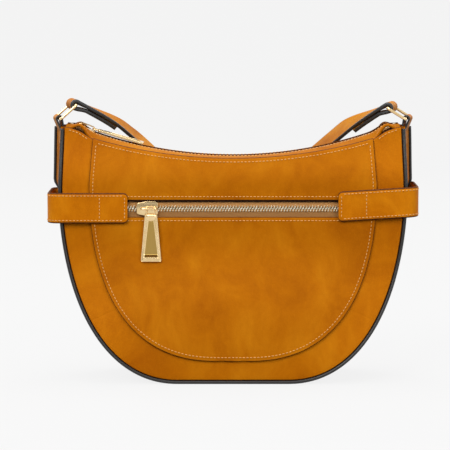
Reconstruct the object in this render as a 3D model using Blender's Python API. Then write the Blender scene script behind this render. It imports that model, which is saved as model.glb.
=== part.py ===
"""Half-moon crossbody bag in leather: panels, gusset, piping, zips, belts, rings and strap.

Metres, +Z up. The front faces -Y and +X is to the right as seen from the front.
The origin is the centre of the flat base, on the ground.
"""
import math

import bpy
import bmesh
import numpy as np
from mathutils import Vector

# Front outline, seen from the front
BASE_HALF_WIDTH = 0.044
WIDEST_HALF_WIDTH = 0.1403
WIDEST_HEIGHT = 0.157
CORNER_HALF_WIDTH = 0.1385
CORNER_HEIGHT = 0.205
OUTLINE_POWER = 2.15
TOP_DIP_HEIGHT = 0.1795
TOP_EDGE_RADIUS = 0.410
HORN_WIDTH = 0.0265
HORN_START_HALF_WIDTH = CORNER_HALF_WIDTH - HORN_WIDTH
HORN_LIFT = 0.0035
HORN_RUN = 0.014
HORN_LIFT_HALF_WIDTH = HORN_START_HALF_WIDTH + HORN_RUN

# Depth of the body, as half depths from the middle
BASE_HALF_DEPTH = 0.040
UPPER_HALF_DEPTH = 0.024
FRONT_ZIP_HEIGHT = 0.140
UPRIGHT_BELOW_ZIP = 0.028
UPPER_FROM_HEIGHT = FRONT_ZIP_HEIGHT - UPRIGHT_BELOW_ZIP
HORN_HALF_DEPTH = 0.0155
PINCH_ABOVE_ZIP = 0.018
PINCH_FROM_HEIGHT = FRONT_ZIP_HEIGHT + PINCH_ABOVE_ZIP

# How much wider the back is than the front above the belts
BACK_FLARE = 0.0050
FLARE_FROM_HEIGHT = 0.150

# Leather, seams and clearance
LEATHER = 0.0018
THIN_LEATHER = 0.0014
SEAM_LAP = 0.008
GAP = 0.0003
PIPING_RADIUS = 0.0014
OVERRUN = 0.004

# Raised front panel
PANEL_BASE_HALF_WIDTH = 0.010
BAND_WIDTH = 0.0248
PANEL_HALF_WIDTH = WIDEST_HALF_WIDTH - BAND_WIDTH
PANEL_WIDEST_HEIGHT = 0.160
PANEL_FOOT_HEIGHT = 0.0185
PANEL_POWER = 2.4
PANEL_TOP_INSET = 0.0028
PANEL_TOP_HALF_WIDTH = PANEL_HALF_WIDTH - PANEL_TOP_INSET
BAND_SEAM_HEIGHT = 0.0497

# Gusset fold above the belts
FOLD_FROM_HEIGHT = 0.128
FOLD_DEPTH = 0.0070
FOLD_FLAT_SHARE = 0.5

# Zips: one chain size for both
TOOTH_HALF_CHAIN = 0.0024
TOOTH_HEIGHT = 0.0024
TAPE_THICKNESS = 0.0006
TAPE_HALF_WIDTH = 0.0125
TOP_TAPE_HALF_WIDTH = 0.0108
TOOTH_PITCH = 0.0030
TOOTH_LENGTH = 0.0009
TOOTH_TIP_LENGTH = 0.0006
TOOTH_TIP = 0.0004
TAPE_EDGE = TOOTH_TIP + GAP
ZIP_STOP_LENGTH = 0.0025
ZIP_STOP_HEIGHT = 0.0012
FRONT_SLOT_HEIGHT = 0.0135
FRONT_SLOT_END_INSET = 0.0175
FRONT_SLOT_HALF_LENGTH = PANEL_HALF_WIDTH - FRONT_SLOT_END_INSET
SLOT_END_CLEARANCE = 0.002
FRONT_CHAIN_HALF_LENGTH = FRONT_SLOT_HALF_LENGTH - SLOT_END_CLEARANCE
TOP_ZIP_HEIGHT = 0.1805
TOP_ZIP_RADIUS = 0.340
TOP_CHAIN_END_INSET = 0.007
TOP_CHAIN_HALF_LENGTH = CORNER_HALF_WIDTH - TOP_CHAIN_END_INSET
TOP_SLIDER_SETBACK = 0.0115
TOP_SLIDER_X = TOP_SLIDER_SETBACK - TOP_CHAIN_HALF_LENGTH
BAND_INNER_HALF = 0.0085
BAND_HUMP_HEIGHT = 0.0050
BAND_INNER_LIFT_SHARE = 0.35
BAND_TUCK_FROM = PANEL_TOP_HALF_WIDTH - 5 / 2 * SEAM_LAP
BAND_HUMP_INSET = 0.015
BAND_HUMP_X = CORNER_HALF_WIDTH - BAND_HUMP_INSET
BAND_HUMP_HALF_LENGTH = 0.014
BAND_END_INSET = 0.0045
BAND_END_X = CORNER_HALF_WIDTH - BAND_END_INSET

# Sliders and pulls
SLIDER_WIDTH = 0.012
SLIDER_PLATE = 0.0011
SLIDER_FLANGE = 0.0012
SLIDER_CLEARANCE = 0.0004
BRIDGE_SPAN = 0.014
SLIDER_PAST_BRIDGE = 0.003
SLIDER_LENGTH = BRIDGE_SPAN + SLIDER_PAST_BRIDGE
BRIDGE_SHIFT = 0.0014
BRIDGE_RISE = 0.0022
BRIDGE_THICKNESS = 0.0010
BRIDGE_WIDTH = 0.0016
EYE_INNER_RADIUS = 0.00120
EYE_WALL = 0.0008
EYE_WIDTH = 0.0012
EYE_HALF_SPREAD = 0.0034
EYE_FLUSH = 0.0001
PULL_THICKNESS = 0.0020
PULL_LENGTH = 0.038
PULL_TOP_WIDTH = 0.0100
PULL_FOOT_WIDTH = 0.0167
PULL_NECK = 0.0045
PULL_SLOT_WIDTH = 0.011
PULL_SLOT_HEIGHT = 0.0022
PULL_SLOT_FROM_FOOT = 0.0036
PULL_CORNER = 0.0012
TOP_PULL_SETBACK = 0.0012
TOP_PULL_LIFT = math.radians(4.5)

# Side belts
BELT_RISE = 0.0005
BELT_HEIGHT_CENTRE = FRONT_ZIP_HEIGHT + BELT_RISE
BELT_HEIGHT = 0.0245
BELT_THICKNESS = 0.0024
BELT_END_INSET = 0.031
BELT_END_HALF_WIDTH = PANEL_HALF_WIDTH - BELT_END_INSET
SLIDER_BESIDE_BELT = 0.0157
FRONT_SLIDER_X = SLIDER_BESIDE_BELT - BELT_END_HALF_WIDTH
BELT_STITCH_INSET = 0.0085
BELT_STITCH_HALF_WIDTH = PANEL_HALF_WIDTH - BELT_STITCH_INSET
BELT_STAND_OFF = 0.0089
BELT_REACH = WIDEST_HALF_WIDTH + BELT_STAND_OFF
BELT_CORNER = 0.008

# Rings, tabs and strap
RING_PIVOT_OUT = 0.003
RING_PIVOT_X = CORNER_HALF_WIDTH + RING_PIVOT_OUT
RING_PIVOT_HEIGHT = 0.211
RING_YAW = math.radians(14)
RING_REACH = 0.017
RING_WIRE_RADIUS = 0.00115
RING_CORNER = 0.0018
RING_TILTS = {"left": math.radians(41), "right": math.radians(31)}
TAB_THICKNESS = 0.0016
TAB_WIDTH = 0.013
TAB_FOOT_HEIGHT = 0.190
TAB_CLOSE_TURN = math.radians(9)
STRAP_WIDTH = 0.022
STRAP_THICKNESS = 0.0026
STRAP_FOLD_LENGTH = 0.036
STRAP_SLOPES = {"left": math.radians(30), "right": math.radians(33)}
STRAP_SKEW = math.radians(14)

# Inner pieces
LINING_THICKNESS = 0.0006
LINING_INSET = 0.0048
LINING_TOP_HEIGHT = 0.170
POCKET_DEPTH = 0.080
POCKET_HALF_WIDTH = 0.094
POCKET_THICKNESS = 0.0022
BOARD_THICKNESS = 0.0015
BOARD_MARGIN = 0.006

# Mesh counts
SIDE_STEPS = 18
STRAIGHT_STEPS = 4
PANEL_COLUMNS = 14
TUBE_SIDES = 6
UPRIGHT_LIMIT = 0.9
TUBE_SMOOTH_ANGLE = math.radians(70)
RING_CORNER_STEPS = 3
ARC_STEPS = 24
STRAP_STEPS = 9

# Colours
OCHRE = (0.40, 0.16, 0.025, 1.0)
BLACK = (0.02, 0.018, 0.016, 1.0)
TAPE_BROWN = (0.25, 0.13, 0.05, 1.0)
BRASS = (0.80, 0.58, 0.25, 1.0)
LINING_SAND = (0.45, 0.36, 0.24, 1.0)


def clear_scene():
    for item in list(bpy.data.objects):
        bpy.data.objects.remove(item, do_unlink=True)


def make_material(name, color, roughness, metallic):
    material = bpy.data.materials.new(name)
    material.use_nodes = True
    shader = material.node_tree.nodes["Principled BSDF"]
    shader.inputs["Base Color"].default_value = color
    shader.inputs["Roughness"].default_value = roughness
    shader.inputs["Metallic"].default_value = metallic
    return material


def add_mesh(name, points, faces, look, origin=Vector((0.0, 0.0, 0.0)), sharp=math.radians(38)):
    """One closed body from points and faces, turned outward, with its origin where it is asked."""
    mesh = bpy.data.meshes.new(name)
    mesh.from_pydata([Vector(p) - origin for p in points], [], faces)
    work = bmesh.new()
    work.from_mesh(mesh)
    bmesh.ops.recalc_face_normals(work, faces=work.faces)
    work.to_mesh(mesh)
    work.free()
    mesh.shade_smooth()
    mesh.set_sharp_from_angle(angle=sharp)
    body = bpy.data.objects.new(name, mesh)
    body.location = origin
    bpy.context.scene.collection.objects.link(body)
    mesh.materials.append(make_material(name + "_look", *look))
    return body


def grid_faces(rows, columns, start, ring=False):
    """Quads over a grid of points; a ring grid joins its last row to its first."""
    faces = []
    row_count = rows if ring else rows - 1
    for i in range(row_count):
        for j in range(columns - 1):
            a = start + i * columns + j
            b = start + ((i + 1) % rows) * columns + j
            faces.append((a, a + 1, b + 1, b))
    return faces


def slab(name, outer, inner, look, ring=False, origin=Vector((0.0, 0.0, 0.0))):
    """A sheet with two faces, each a grid of points of the same size, closed along its borders."""
    rows = len(outer)
    columns = len(outer[0])
    points = [p for row in outer for p in row] + [p for row in inner for p in row]
    shift = rows * columns
    faces = grid_faces(rows, columns, 0, ring)
    faces += [tuple(reversed(f)) for f in grid_faces(rows, columns, shift, ring)]
    row_count = rows if ring else rows - 1
    for i in range(row_count):
        a = i * columns
        b = ((i + 1) % rows) * columns
        faces.append((a, b, b + shift, a + shift))
        a += columns - 1
        b += columns - 1
        faces.append((b, a, a + shift, b + shift))
    if not ring:
        last = (rows - 1) * columns
        for j in range(columns - 1):
            faces.append((j + 1, j, j + shift, j + 1 + shift))
            faces.append((last + j, last + j + 1, last + j + 1 + shift, last + j + shift))
    return add_mesh(name, points, faces, look, origin)


def tube(name, path, radius, look, closed=False, sides=TUBE_SIDES, origin=Vector((0.0, 0.0, 0.0))):
    """A round tube along a path, with flat ends unless the path closes on itself."""
    path = [Vector(p) for p in path]
    count = len(path)
    points = []
    side_axis = None
    for i, centre in enumerate(path):
        before = path[i - 1] if (i > 0 or closed) else centre
        after = path[(i + 1) % count] if (i < count - 1 or closed) else centre
        along = (after - before).normalized()
        if side_axis is None:
            side_axis = Vector((0.0, 1.0, 0.0)) if abs(along.y) < UPRIGHT_LIMIT else Vector((0.0, 0.0, 1.0))
        side_axis = (side_axis - along * side_axis.dot(along)).normalized()
        third = along.cross(side_axis)
        for k in range(sides):
            turn = 2 * math.pi * (k + 0.5) / sides
            points.append(centre + (side_axis * math.cos(turn) + third * math.sin(turn)) * radius)
    faces = []
    for i in range(count if closed else count - 1):
        for k in range(sides):
            a = i * sides + k
            b = i * sides + (k + 1) % sides
            c = ((i + 1) % count) * sides + (k + 1) % sides
            d = ((i + 1) % count) * sides + k
            faces.append((a, b, c, d))
    if not closed:
        faces.append(tuple(range(sides)))
        faces.append(tuple(reversed(range((count - 1) * sides, count * sides))))
    return add_mesh(name, points, faces, look, origin, TUBE_SMOOTH_ANGLE)


def box_points(low, high):
    return [(x, y, z) for x in (low[0], high[0]) for y in (low[1], high[1]) for z in (low[2], high[2])]


BOX_FACES = [(0, 1, 3, 2), (4, 6, 7, 5), (0, 4, 5, 1), (2, 3, 7, 6), (0, 2, 6, 4), (1, 5, 7, 3)]


def add_tool(body, tool, operation):
    """Joins a helper solid to a body, or cuts it away, and hides the helper."""
    step = body.modifiers.new(operation.title() + " " + tool.name, "BOOLEAN")
    step.operation = operation
    step.solver = "EXACT"
    step.object = tool
    tool.hide_render = True
    tool.display_type = "WIRE"


def smooth_step(value):
    value = min(max(value, 0.0), 1.0)
    return value * value * (3 - 2 * value)


def half_depth(height):
    """Half depth of the body: wide at the base, upright behind the front zip, drawn in at the top."""
    lower = smooth_step(height / UPPER_FROM_HEIGHT)
    upper = smooth_step((height - PINCH_FROM_HEIGHT) / (CORNER_HEIGHT - PINCH_FROM_HEIGHT))
    return (BASE_HALF_DEPTH + (UPPER_HALF_DEPTH - BASE_HALF_DEPTH) * lower
            + (HORN_HALF_DEPTH - UPPER_HALF_DEPTH) * upper)


def top_edge(x):
    """Height of the panels' top edge: a shallow arc that lifts into the two horns."""
    reach = min(abs(x), CORNER_HALF_WIDTH)
    arc = TOP_DIP_HEIGHT + TOP_EDGE_RADIUS - math.sqrt(TOP_EDGE_RADIUS ** 2 - reach ** 2)
    rise = smooth_step((reach - HORN_START_HALF_WIDTH) / (HORN_LIFT_HALF_WIDTH - HORN_START_HALF_WIDTH))
    return min(arc + HORN_LIFT * rise, CORNER_HEIGHT)


def superellipse_side(foot, half_width, foot_height, widest_height, power, steps):
    """Quarter of a superellipse from the foot to the widest point, as (x, height)."""
    points = []
    for i in range(steps + 1):
        turn = math.pi / 2 * (1 - i / steps)
        x = foot + (half_width - foot) * math.cos(turn) ** (2 / power)
        height = widest_height - (widest_height - foot_height) * math.sin(turn) ** (2 / power)
        points.append((x, height))
    return points


def side_flare(height, back_share):
    """How far a side stands out over the front's outline, from none at the front to all at the back."""
    return BACK_FLARE * back_share * smooth_step((height - FLARE_FROM_HEIGHT) / (CORNER_HEIGHT - FLARE_FROM_HEIGHT))


def back_side(side):
    """The same side as the back has it."""
    return [(x + side_flare(height, 1.0), height) for x, height in side]


def straight_side(start, end, steps):
    return [(start[0] + (end[0] - start[0]) * i / steps, start[1] + (end[1] - start[1]) * i / steps)
            for i in range(1, steps + 1)]


def offset_path(path, distance):
    """Moves each point of a flat path to its right-hand side by the distance."""
    line = np.array(path)
    step = np.diff(line, axis=0)
    step /= np.linalg.norm(step, axis=1)[:, None]
    normal = np.stack([step[:, 1], -step[:, 0]], axis=1)
    before = np.vstack([normal[:1], normal])
    after = np.vstack([normal, normal[-1:]])
    middle = before + after
    middle /= np.linalg.norm(middle, axis=1)[:, None]
    stretch = distance / np.sum(middle * before, axis=1)
    return [tuple(p) for p in line + middle * stretch[:, None]]


def body_side():
    """Right side of the body's outline, from the foot to the top corner."""
    curve = superellipse_side(BASE_HALF_WIDTH, WIDEST_HALF_WIDTH, 0.0, WIDEST_HEIGHT, OUTLINE_POWER, SIDE_STEPS)
    return curve + straight_side(curve[-1], (CORNER_HALF_WIDTH, CORNER_HEIGHT), STRAIGHT_STEPS)


def panel_side():
    """Right side of the raised front panel's outline."""
    curve = superellipse_side(PANEL_BASE_HALF_WIDTH, PANEL_HALF_WIDTH, PANEL_FOOT_HEIGHT,
                              PANEL_WIDEST_HEIGHT, PANEL_POWER, SIDE_STEPS)
    top = (PANEL_TOP_HALF_WIDTH, top_edge(PANEL_TOP_HALF_WIDTH))
    return curve + straight_side(curve[-1], top, STRAIGHT_STEPS)


def inset_side(side, inset):
    """The same side moved inward, kept right of the middle."""
    return [(max(x, 0.0), height) for x, height in offset_path(side, -inset)]


def plate_rows(side, columns):
    """Rows of (x, height) across a plate; the upper rows bend into the top edge."""
    rows = []
    corner_x, corner_height = side[-1]
    bend_from = PINCH_FROM_HEIGHT
    for half, height in side:
        bend = smooth_step((height - bend_from) / (corner_height - bend_from))
        row = []
        for j in range(columns + 1):
            x = half * (2 * j / columns - 1)
            drop = top_edge(corner_x) - top_edge(x * corner_x / half)
            row.append((x, height - drop * bend))
        rows.append(row)
    return rows


def plate(name, side, sign, lift, thickness, look):
    """A leather plate over the front (sign -1) or back (sign 1), lifted off the body's surface."""
    outer = []
    inner = []
    for row in plate_rows(side, PANEL_COLUMNS):
        outer.append([(x, sign * (half_depth(z) + lift), z) for x, z in row])
        inner.append([(x, sign * (half_depth(z) + lift - thickness), z) for x, z in row])
    return slab(name, outer, inner, look)


OCHRE_LEATHER = (OCHRE, 0.5, 0.0)
BLACK_LEATHER = (BLACK, 0.45, 0.0)
ZIP_TAPE = (TAPE_BROWN, 0.8, 0.0)
BRASS_METAL = (BRASS, 0.3, 1.0)
LINING_CLOTH = (LINING_SAND, 0.9, 0.0)
SEAM_INSET = 2 * PIPING_RADIUS + GAP
PANEL_LIFT = LEATHER + GAP


def make_front_panel():
    """The raised panel, with the slot of the front zip pocket."""
    panel = plate("front_panel", panel_side(), -1, PANEL_LIFT, LEATHER, OCHRE_LEATHER)
    front = UPPER_HALF_DEPTH + PANEL_LIFT
    low = (-FRONT_SLOT_HALF_LENGTH, -front - OVERRUN, FRONT_ZIP_HEIGHT - FRONT_SLOT_HEIGHT / 2)
    high = (FRONT_SLOT_HALF_LENGTH, -front + LEATHER + OVERRUN, FRONT_ZIP_HEIGHT + FRONT_SLOT_HEIGHT / 2)
    slot = add_mesh("front_slot_cutter", box_points(low, high), BOX_FACES, OCHRE_LEATHER)
    add_tool(panel, slot, "DIFFERENCE")
    return panel


def band_rows(outer_side, inner_side, sign):
    """Pairs of inner and outer points along one side of the band round the raised panel."""
    return [((sign * a[0], a[1]), (sign * b[0], b[1])) for a, b in zip(inner_side, outer_side)]


def band_slab(name, pairs):
    outer = []
    inner = []
    for pair in pairs:
        (x0, z0), (x1, z1) = pair
        middle = ((x0 + x1) / 2, (z0 + z1) / 2)
        row = [(x0, z0), middle, (x1, z1)]
        outer.append([(x, -half_depth(z), z) for x, z in row])
        inner.append([(x, -half_depth(z) + LEATHER, z) for x, z in row])
    return slab(name, outer, inner, OCHRE_LEATHER)


def make_front_bands():
    """Three pieces round the raised panel: a left and a right one, and one under it."""
    outer_side = inset_side(body_side(), SEAM_INSET)
    inner_side = inset_side(panel_side(), SEAM_LAP)
    heights = [z for x, z in outer_side]
    seam = min(range(len(heights)), key=lambda i: abs(heights[i] - BAND_SEAM_HEIGHT))
    inner_top = inner_side[-1][0]
    inner_side[-1] = (inner_top, top_edge(inner_top))
    for side, sign in (("left", -1), ("right", 1)):
        pairs = band_rows(outer_side, inner_side, sign)[seam:]
        band_slab("front_band_" + side, shorten_start(pairs))
    left = band_rows(outer_side, inner_side, -1)[:seam + 1]
    right = band_rows(outer_side, inner_side, 1)[:seam + 1]
    band_slab("front_band_bottom", list(reversed(left)) + right)


def shorten_start(pairs):
    """Moves the first row up its band by the clearance, so that the seam's two edges stay apart."""
    first, second = pairs[0], pairs[1]
    moved = []
    for a, b in zip(first, second):
        length = math.hypot(b[0] - a[0], b[1] - a[1])
        share = 2 * GAP / length
        moved.append((a[0] + (b[0] - a[0]) * share, a[1] + (b[1] - a[1]) * share))
    return [tuple(moved)] + pairs[1:]


def fold_depth(height):
    """How far the gusset's middle folds inward between the panels."""
    return FOLD_DEPTH * smooth_step((height - FOLD_FROM_HEIGHT) / (CORNER_HEIGHT - FOLD_FROM_HEIGHT))


def upright_half_width(height):
    """Half width over the gusset's outer face on the upright part of the sides."""
    share = (height - WIDEST_HEIGHT) / (CORNER_HEIGHT - WIDEST_HEIGHT)
    return WIDEST_HALF_WIDTH + (CORNER_HALF_WIDTH - WIDEST_HALF_WIDTH) * share


def outline_round(inset):
    """The body's outline at an inset, from the left top corner down and up to the right one."""
    side = inset_side(body_side(), inset)
    foot = side[0]
    left = [(-x, z) for x, z in reversed(side)]
    return left + [(0.0, foot[1])] + side


def make_gusset():
    """The strip between front and back, with its flat base and the inward fold at its sides."""
    outer_line = outline_round(0.0)
    inner_line = outline_round(THIN_LEATHER)
    outer = []
    inner = []
    for (xo, zo), (xi, zi) in zip(outer_line, inner_line):
        edge = half_depth(zo) - PIPING_RADIUS - GAP
        fold = fold_depth(zo)
        direction = -1 if xo > 0 else 1
        outer_row = []
        inner_row = []
        for share in (-1.0, -FOLD_FLAT_SHARE, 0.0, FOLD_FLAT_SHARE, 1.0):
            push = 0.0 if abs(share) == 1.0 else fold * direction
            push -= direction * side_flare(zo, (share + 1) / 2)
            outer_row.append((xo + push, edge * share, zo))
            inner_row.append((xi + push, edge * share, zi))
        outer.append(outer_row)
        inner.append(inner_row)
    return slab("gusset", outer, inner, OCHRE_LEATHER)


def make_piping(name, sign):
    back_share = (sign + 1) / 2
    path = [(x + math.copysign(side_flare(z, back_share), x), sign * half_depth(z), z)
            for x, z in outline_round(PIPING_RADIUS)]
    return tube(name, path, PIPING_RADIUS, BLACK_LEATHER)


def zip_arc_point(x, offset):
    """A point of the top zip's arc at x, moved off the arc by the offset, as (x, height)."""
    turn = math.asin(x / TOP_ZIP_RADIUS)
    radius = TOP_ZIP_RADIUS - offset
    return (radius * math.sin(turn), TOP_ZIP_HEIGHT + TOP_ZIP_RADIUS - radius * math.cos(turn))


def arc_stations(half_length, count):
    return [half_length * (2 * i / count - 1) for i in range(count + 1)]


def band_outer_edge(x, sign):
    """Half depth of the top band's outer edge, which tucks in behind the panels' top edges."""
    step = smooth_step((abs(x) - BAND_TUCK_FROM) / SEAM_LAP) if sign < 0 else 1.0
    corner = smooth_step((abs(x) - BAND_HUMP_X) / (BAND_END_X - BAND_HUMP_X))
    return half_depth(top_edge(x)) - (LEATHER + GAP) * step - PIPING_RADIUS * corner


def band_levels(x):
    """Levels of the top band's middle over the zip's arc: at its inner edge and at its outer edge."""
    away = (abs(x) - BAND_HUMP_X) / BAND_HUMP_HALF_LENGTH
    hump = BAND_HUMP_HEIGHT * (1 - smooth_step(abs(away)))
    drop = zip_arc_point(x, 0.0)[1] - top_edge(x) + THIN_LEATHER / 2
    return hump * BAND_INNER_LIFT_SHARE, hump - drop


def make_top_band(name, sign):
    """Leather strip between a panel's top edge and the zip, arched over the horns at both ends."""
    outer = []
    inner = []
    for x in arc_stations(BAND_END_X, 2 * ARC_STEPS):
        levels = band_levels(x)
        depths = (BAND_INNER_HALF, band_outer_edge(x, sign))
        tops = [zip_arc_point(x, level + THIN_LEATHER / 2) for level in levels]
        lows = [zip_arc_point(x, level - THIN_LEATHER / 2) for level in levels]
        outer.append([(px, sign * y, pz) for (px, pz), y in zip(tops, depths)])
        inner.append([(px, sign * y, pz) for (px, pz), y in zip(lows, depths)])
    return slab(name, outer, inner, OCHRE_LEATHER)


def tape_level(x, depth, sign):
    """Level of the top tape's outer face over the zip's arc: flat at the chain, then along the band."""
    inner, outer = band_levels(x)
    share = max(depth - BAND_INNER_HALF, 0.0) / (band_outer_edge(x, sign) - BAND_INNER_HALF)
    clearance = 2 * GAP if share > 0 else GAP
    return min(inner + (outer - inner) * share, 0.0) - THIN_LEATHER / 2 - clearance


def tooth_row(name, frames, side):
    """A row of separate teeth on the outer face, each to just past the middle, with a narrower tip."""
    points = []
    faces = []
    ends = ((-TOOTH_TIP, TOOTH_TIP_LENGTH / 2), (TOOTH_HALF_CHAIN, TOOTH_LENGTH / 2))
    for origin, along, across, up in frames:
        start = len(points)
        for way in (-1, 1):
            for reach, half in ends:
                edge = origin + along * (way * half) + across * (side * reach)
                points += [edge - up * (TAPE_THICKNESS / 4), edge + up * (TOOTH_HEIGHT / 2)]
        faces += [tuple(start + v for v in face) for face in BOX_FACES]
    return add_mesh(name, points, faces, BRASS_METAL)


def tooth_places(half_length, side):
    """Positions of the teeth along a chain; one row stands half a pitch along from the other."""
    room = half_length - ZIP_STOP_LENGTH - GAP - TOOTH_LENGTH / 2
    first = -room if side < 0 else TOOTH_PITCH / 2 - room
    count = int((room - first) / TOOTH_PITCH) + 1
    return [first + TOOTH_PITCH * i for i in range(count)]


def make_front_tape(name, sign):
    """One half of the front zip: its tape behind the panel and its row of teeth."""
    plane = UPPER_HALF_DEPTH
    near = FRONT_ZIP_HEIGHT + sign * TAPE_EDGE
    far = FRONT_ZIP_HEIGHT + sign * TAPE_HALF_WIDTH
    half = FRONT_CHAIN_HALF_LENGTH
    low = (-half, -plane, min(near, far))
    high = (half, -plane + TAPE_THICKNESS, max(near, far))
    tape = add_mesh(name, box_points(low, high), BOX_FACES, ZIP_TAPE)
    level = TAPE_THICKNESS / 2 - plane
    along, across, up = Vector((1.0, 0.0, 0.0)), Vector((0.0, 0.0, 1.0)), Vector((0.0, -1.0, 0.0))
    frames = [(Vector((x, level, FRONT_ZIP_HEIGHT)), along, across, up) for x in tooth_places(half, sign)]
    add_tool(tape, tooth_row(name + "_row", frames, sign), "UNION")
    return tape


def make_front_stops():
    """Two metal stops that close the ends of the front chain, each resting on the tape."""
    front = UPPER_HALF_DEPTH + GAP
    for side, sign in (("left", -1), ("right", 1)):
        ends = (sign * FRONT_CHAIN_HALF_LENGTH, sign * (FRONT_CHAIN_HALF_LENGTH - ZIP_STOP_LENGTH))
        low = (min(ends), -front - ZIP_STOP_HEIGHT, FRONT_ZIP_HEIGHT - TOOTH_HALF_CHAIN)
        high = (max(ends), -front, FRONT_ZIP_HEIGHT + TOOTH_HALF_CHAIN)
        add_mesh("front_zip_stop_" + side, box_points(low, high), BOX_FACES, BRASS_METAL)


def bent_bar(name, ends, depth_range, offset_range, steps, look):
    """A bar bent along the top zip's arc between two x values."""
    outer = []
    inner = []
    for i in range(steps + 1):
        x = ends[0] + (ends[1] - ends[0]) * i / steps
        top = zip_arc_point(x, offset_range[1])
        low = zip_arc_point(x, offset_range[0])
        outer.append([(top[0], y, top[1]) for y in depth_range])
        inner.append([(low[0], y, low[1]) for y in depth_range])
    return slab(name, outer, inner, look)


def zip_frame(x, offset):
    """Origin on the top zip's arc at x, and the directions along it, across it and up from it."""
    turn = math.asin(x / TOP_ZIP_RADIUS)
    along = Vector((math.cos(turn), 0.0, math.sin(turn)))
    up = Vector((-math.sin(turn), 0.0, math.cos(turn)))
    px, pz = zip_arc_point(x, offset)
    return (Vector((px, 0.0, pz)), along, Vector((0.0, 1.0, 0.0)), up)


def make_top_tape(name, sign):
    """One half of the top zip: its tape under the band and its row of teeth."""
    half = TOP_CHAIN_HALF_LENGTH
    under = -THIN_LEATHER / 2 - GAP
    outer = []
    inner = []
    for x in arc_stations(half, 2 * ARC_STEPS):
        depths = (TAPE_EDGE, BAND_INNER_HALF, TOP_TAPE_HALF_WIDTH)
        levels = [tape_level(x, depth, sign) for depth in depths]
        tops = [zip_arc_point(x, level) for level in levels]
        lows = [zip_arc_point(x, level - TAPE_THICKNESS) for level in levels]
        outer.append([(px, sign * y, pz) for (px, pz), y in zip(tops, depths)])
        inner.append([(px, sign * y, pz) for (px, pz), y in zip(lows, depths)])
    tape = slab(name, outer, inner, ZIP_TAPE)
    frames = [zip_frame(x, under - TAPE_THICKNESS / 2) for x in tooth_places(half, sign)]
    add_tool(tape, tooth_row(name + "_row", frames, sign), "UNION")
    return tape


def make_top_stops():
    """Two metal stops at the ends of the top chain, each resting on the tape."""
    base = -THIN_LEATHER / 2
    for side, sign in (("left", -1), ("right", 1)):
        ends = (sign * TOP_CHAIN_HALF_LENGTH, sign * (TOP_CHAIN_HALF_LENGTH - ZIP_STOP_LENGTH))
        bent_bar("top_zip_stop_" + side, ends, (-TOOTH_HALF_CHAIN, TOOTH_HALF_CHAIN),
                 (base, base + ZIP_STOP_HEIGHT), 1, BRASS_METAL)


def teeth_face():
    """Height of the teeth's outer face over the tape's outer face."""
    return TOOTH_HEIGHT / 2 - TAPE_THICKNESS / 2


def bridge_level():
    """Height of the bridge bar's middle over the tape's outer face."""
    plate_top = teeth_face() + SLIDER_CLEARANCE + SLIDER_PLATE
    return plate_top + BRIDGE_RISE + BRIDGE_THICKNESS / 2


def slider_points_to_world(point, frame):
    """A point given along the zip, across it and up from its tape, in world space."""
    origin, along, across, up = frame
    return origin + along * point[0] + across * point[1] + up * point[2]


def framed_box(name, low, high, frame, look, origin):
    points = [slider_points_to_world(p, frame) for p in box_points(low, high)]
    return add_mesh(name, points, BOX_FACES, look, origin)


def framed_slab(name, profile_outer, profile_inner, half_width, frame, look, origin):
    """A strip bent in the plane of the zip's length and height, as wide as asked across it."""
    outer = []
    inner = []
    for (a0, u0), (a1, u1) in zip(profile_outer, profile_inner):
        outer.append([slider_points_to_world((a0, y, u0), frame) for y in (-half_width, half_width)])
        inner.append([slider_points_to_world((a1, y, u1), frame) for y in (-half_width, half_width)])
    return slab(name, outer, inner, look, origin=origin)


def make_slider(name, frame, origin):
    """Slider body over the chain: a plate, a flange on each side and an arched bridge."""
    half = SLIDER_LENGTH / 2
    wide = SLIDER_WIDTH / 2
    base = teeth_face() + SLIDER_CLEARANCE
    top = base + SLIDER_PLATE
    slider = framed_box(name, (-half, -wide, base), (half, wide, top), frame, BRASS_METAL, origin)
    for number, sign in enumerate((-1, 1)):
        inside = TOOTH_HALF_CHAIN + SLIDER_CLEARANCE
        ends = (sign * inside, sign * (inside + SLIDER_FLANGE))
        low = (-half + GAP, min(ends), SLIDER_CLEARANCE)
        high = (half - GAP, max(ends), base + SLIDER_PLATE / 2)
        flange = framed_box(name + "_flange_" + str(number), low, high, frame, BRASS_METAL, origin)
        add_tool(slider, flange, "UNION")
    start = BRIDGE_SHIFT - BRIDGE_SPAN / 2
    end = BRIDGE_SHIFT + BRIDGE_SPAN / 2
    rise = bridge_level() + BRIDGE_THICKNESS / 2
    profile = [(start, top - SLIDER_PLATE / 2), (start, rise - BRIDGE_THICKNESS)]
    profile += [(start + BRIDGE_THICKNESS, rise), (end - BRIDGE_THICKNESS, rise)]
    profile += [(end, rise - BRIDGE_THICKNESS), (end, top - SLIDER_PLATE / 2)]
    inner = offset_path(profile, BRIDGE_THICKNESS)
    bridge = framed_slab(name + "_bridge", profile, inner, BRIDGE_WIDTH / 2, frame, BRASS_METAL, origin)
    add_tool(slider, bridge, "UNION")
    return slider


def pull_outline():
    """Half widths of the pull at distances from its hinge: shoulder, flare and rounded foot."""
    start = PULL_NECK
    end = start + PULL_LENGTH
    foot = PULL_FOOT_WIDTH / 2
    top = PULL_TOP_WIDTH / 2
    return [(start, top - PULL_CORNER), (start + PULL_CORNER, top), (end - PULL_CORNER, foot),
            (end, foot - PULL_CORNER)]


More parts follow.
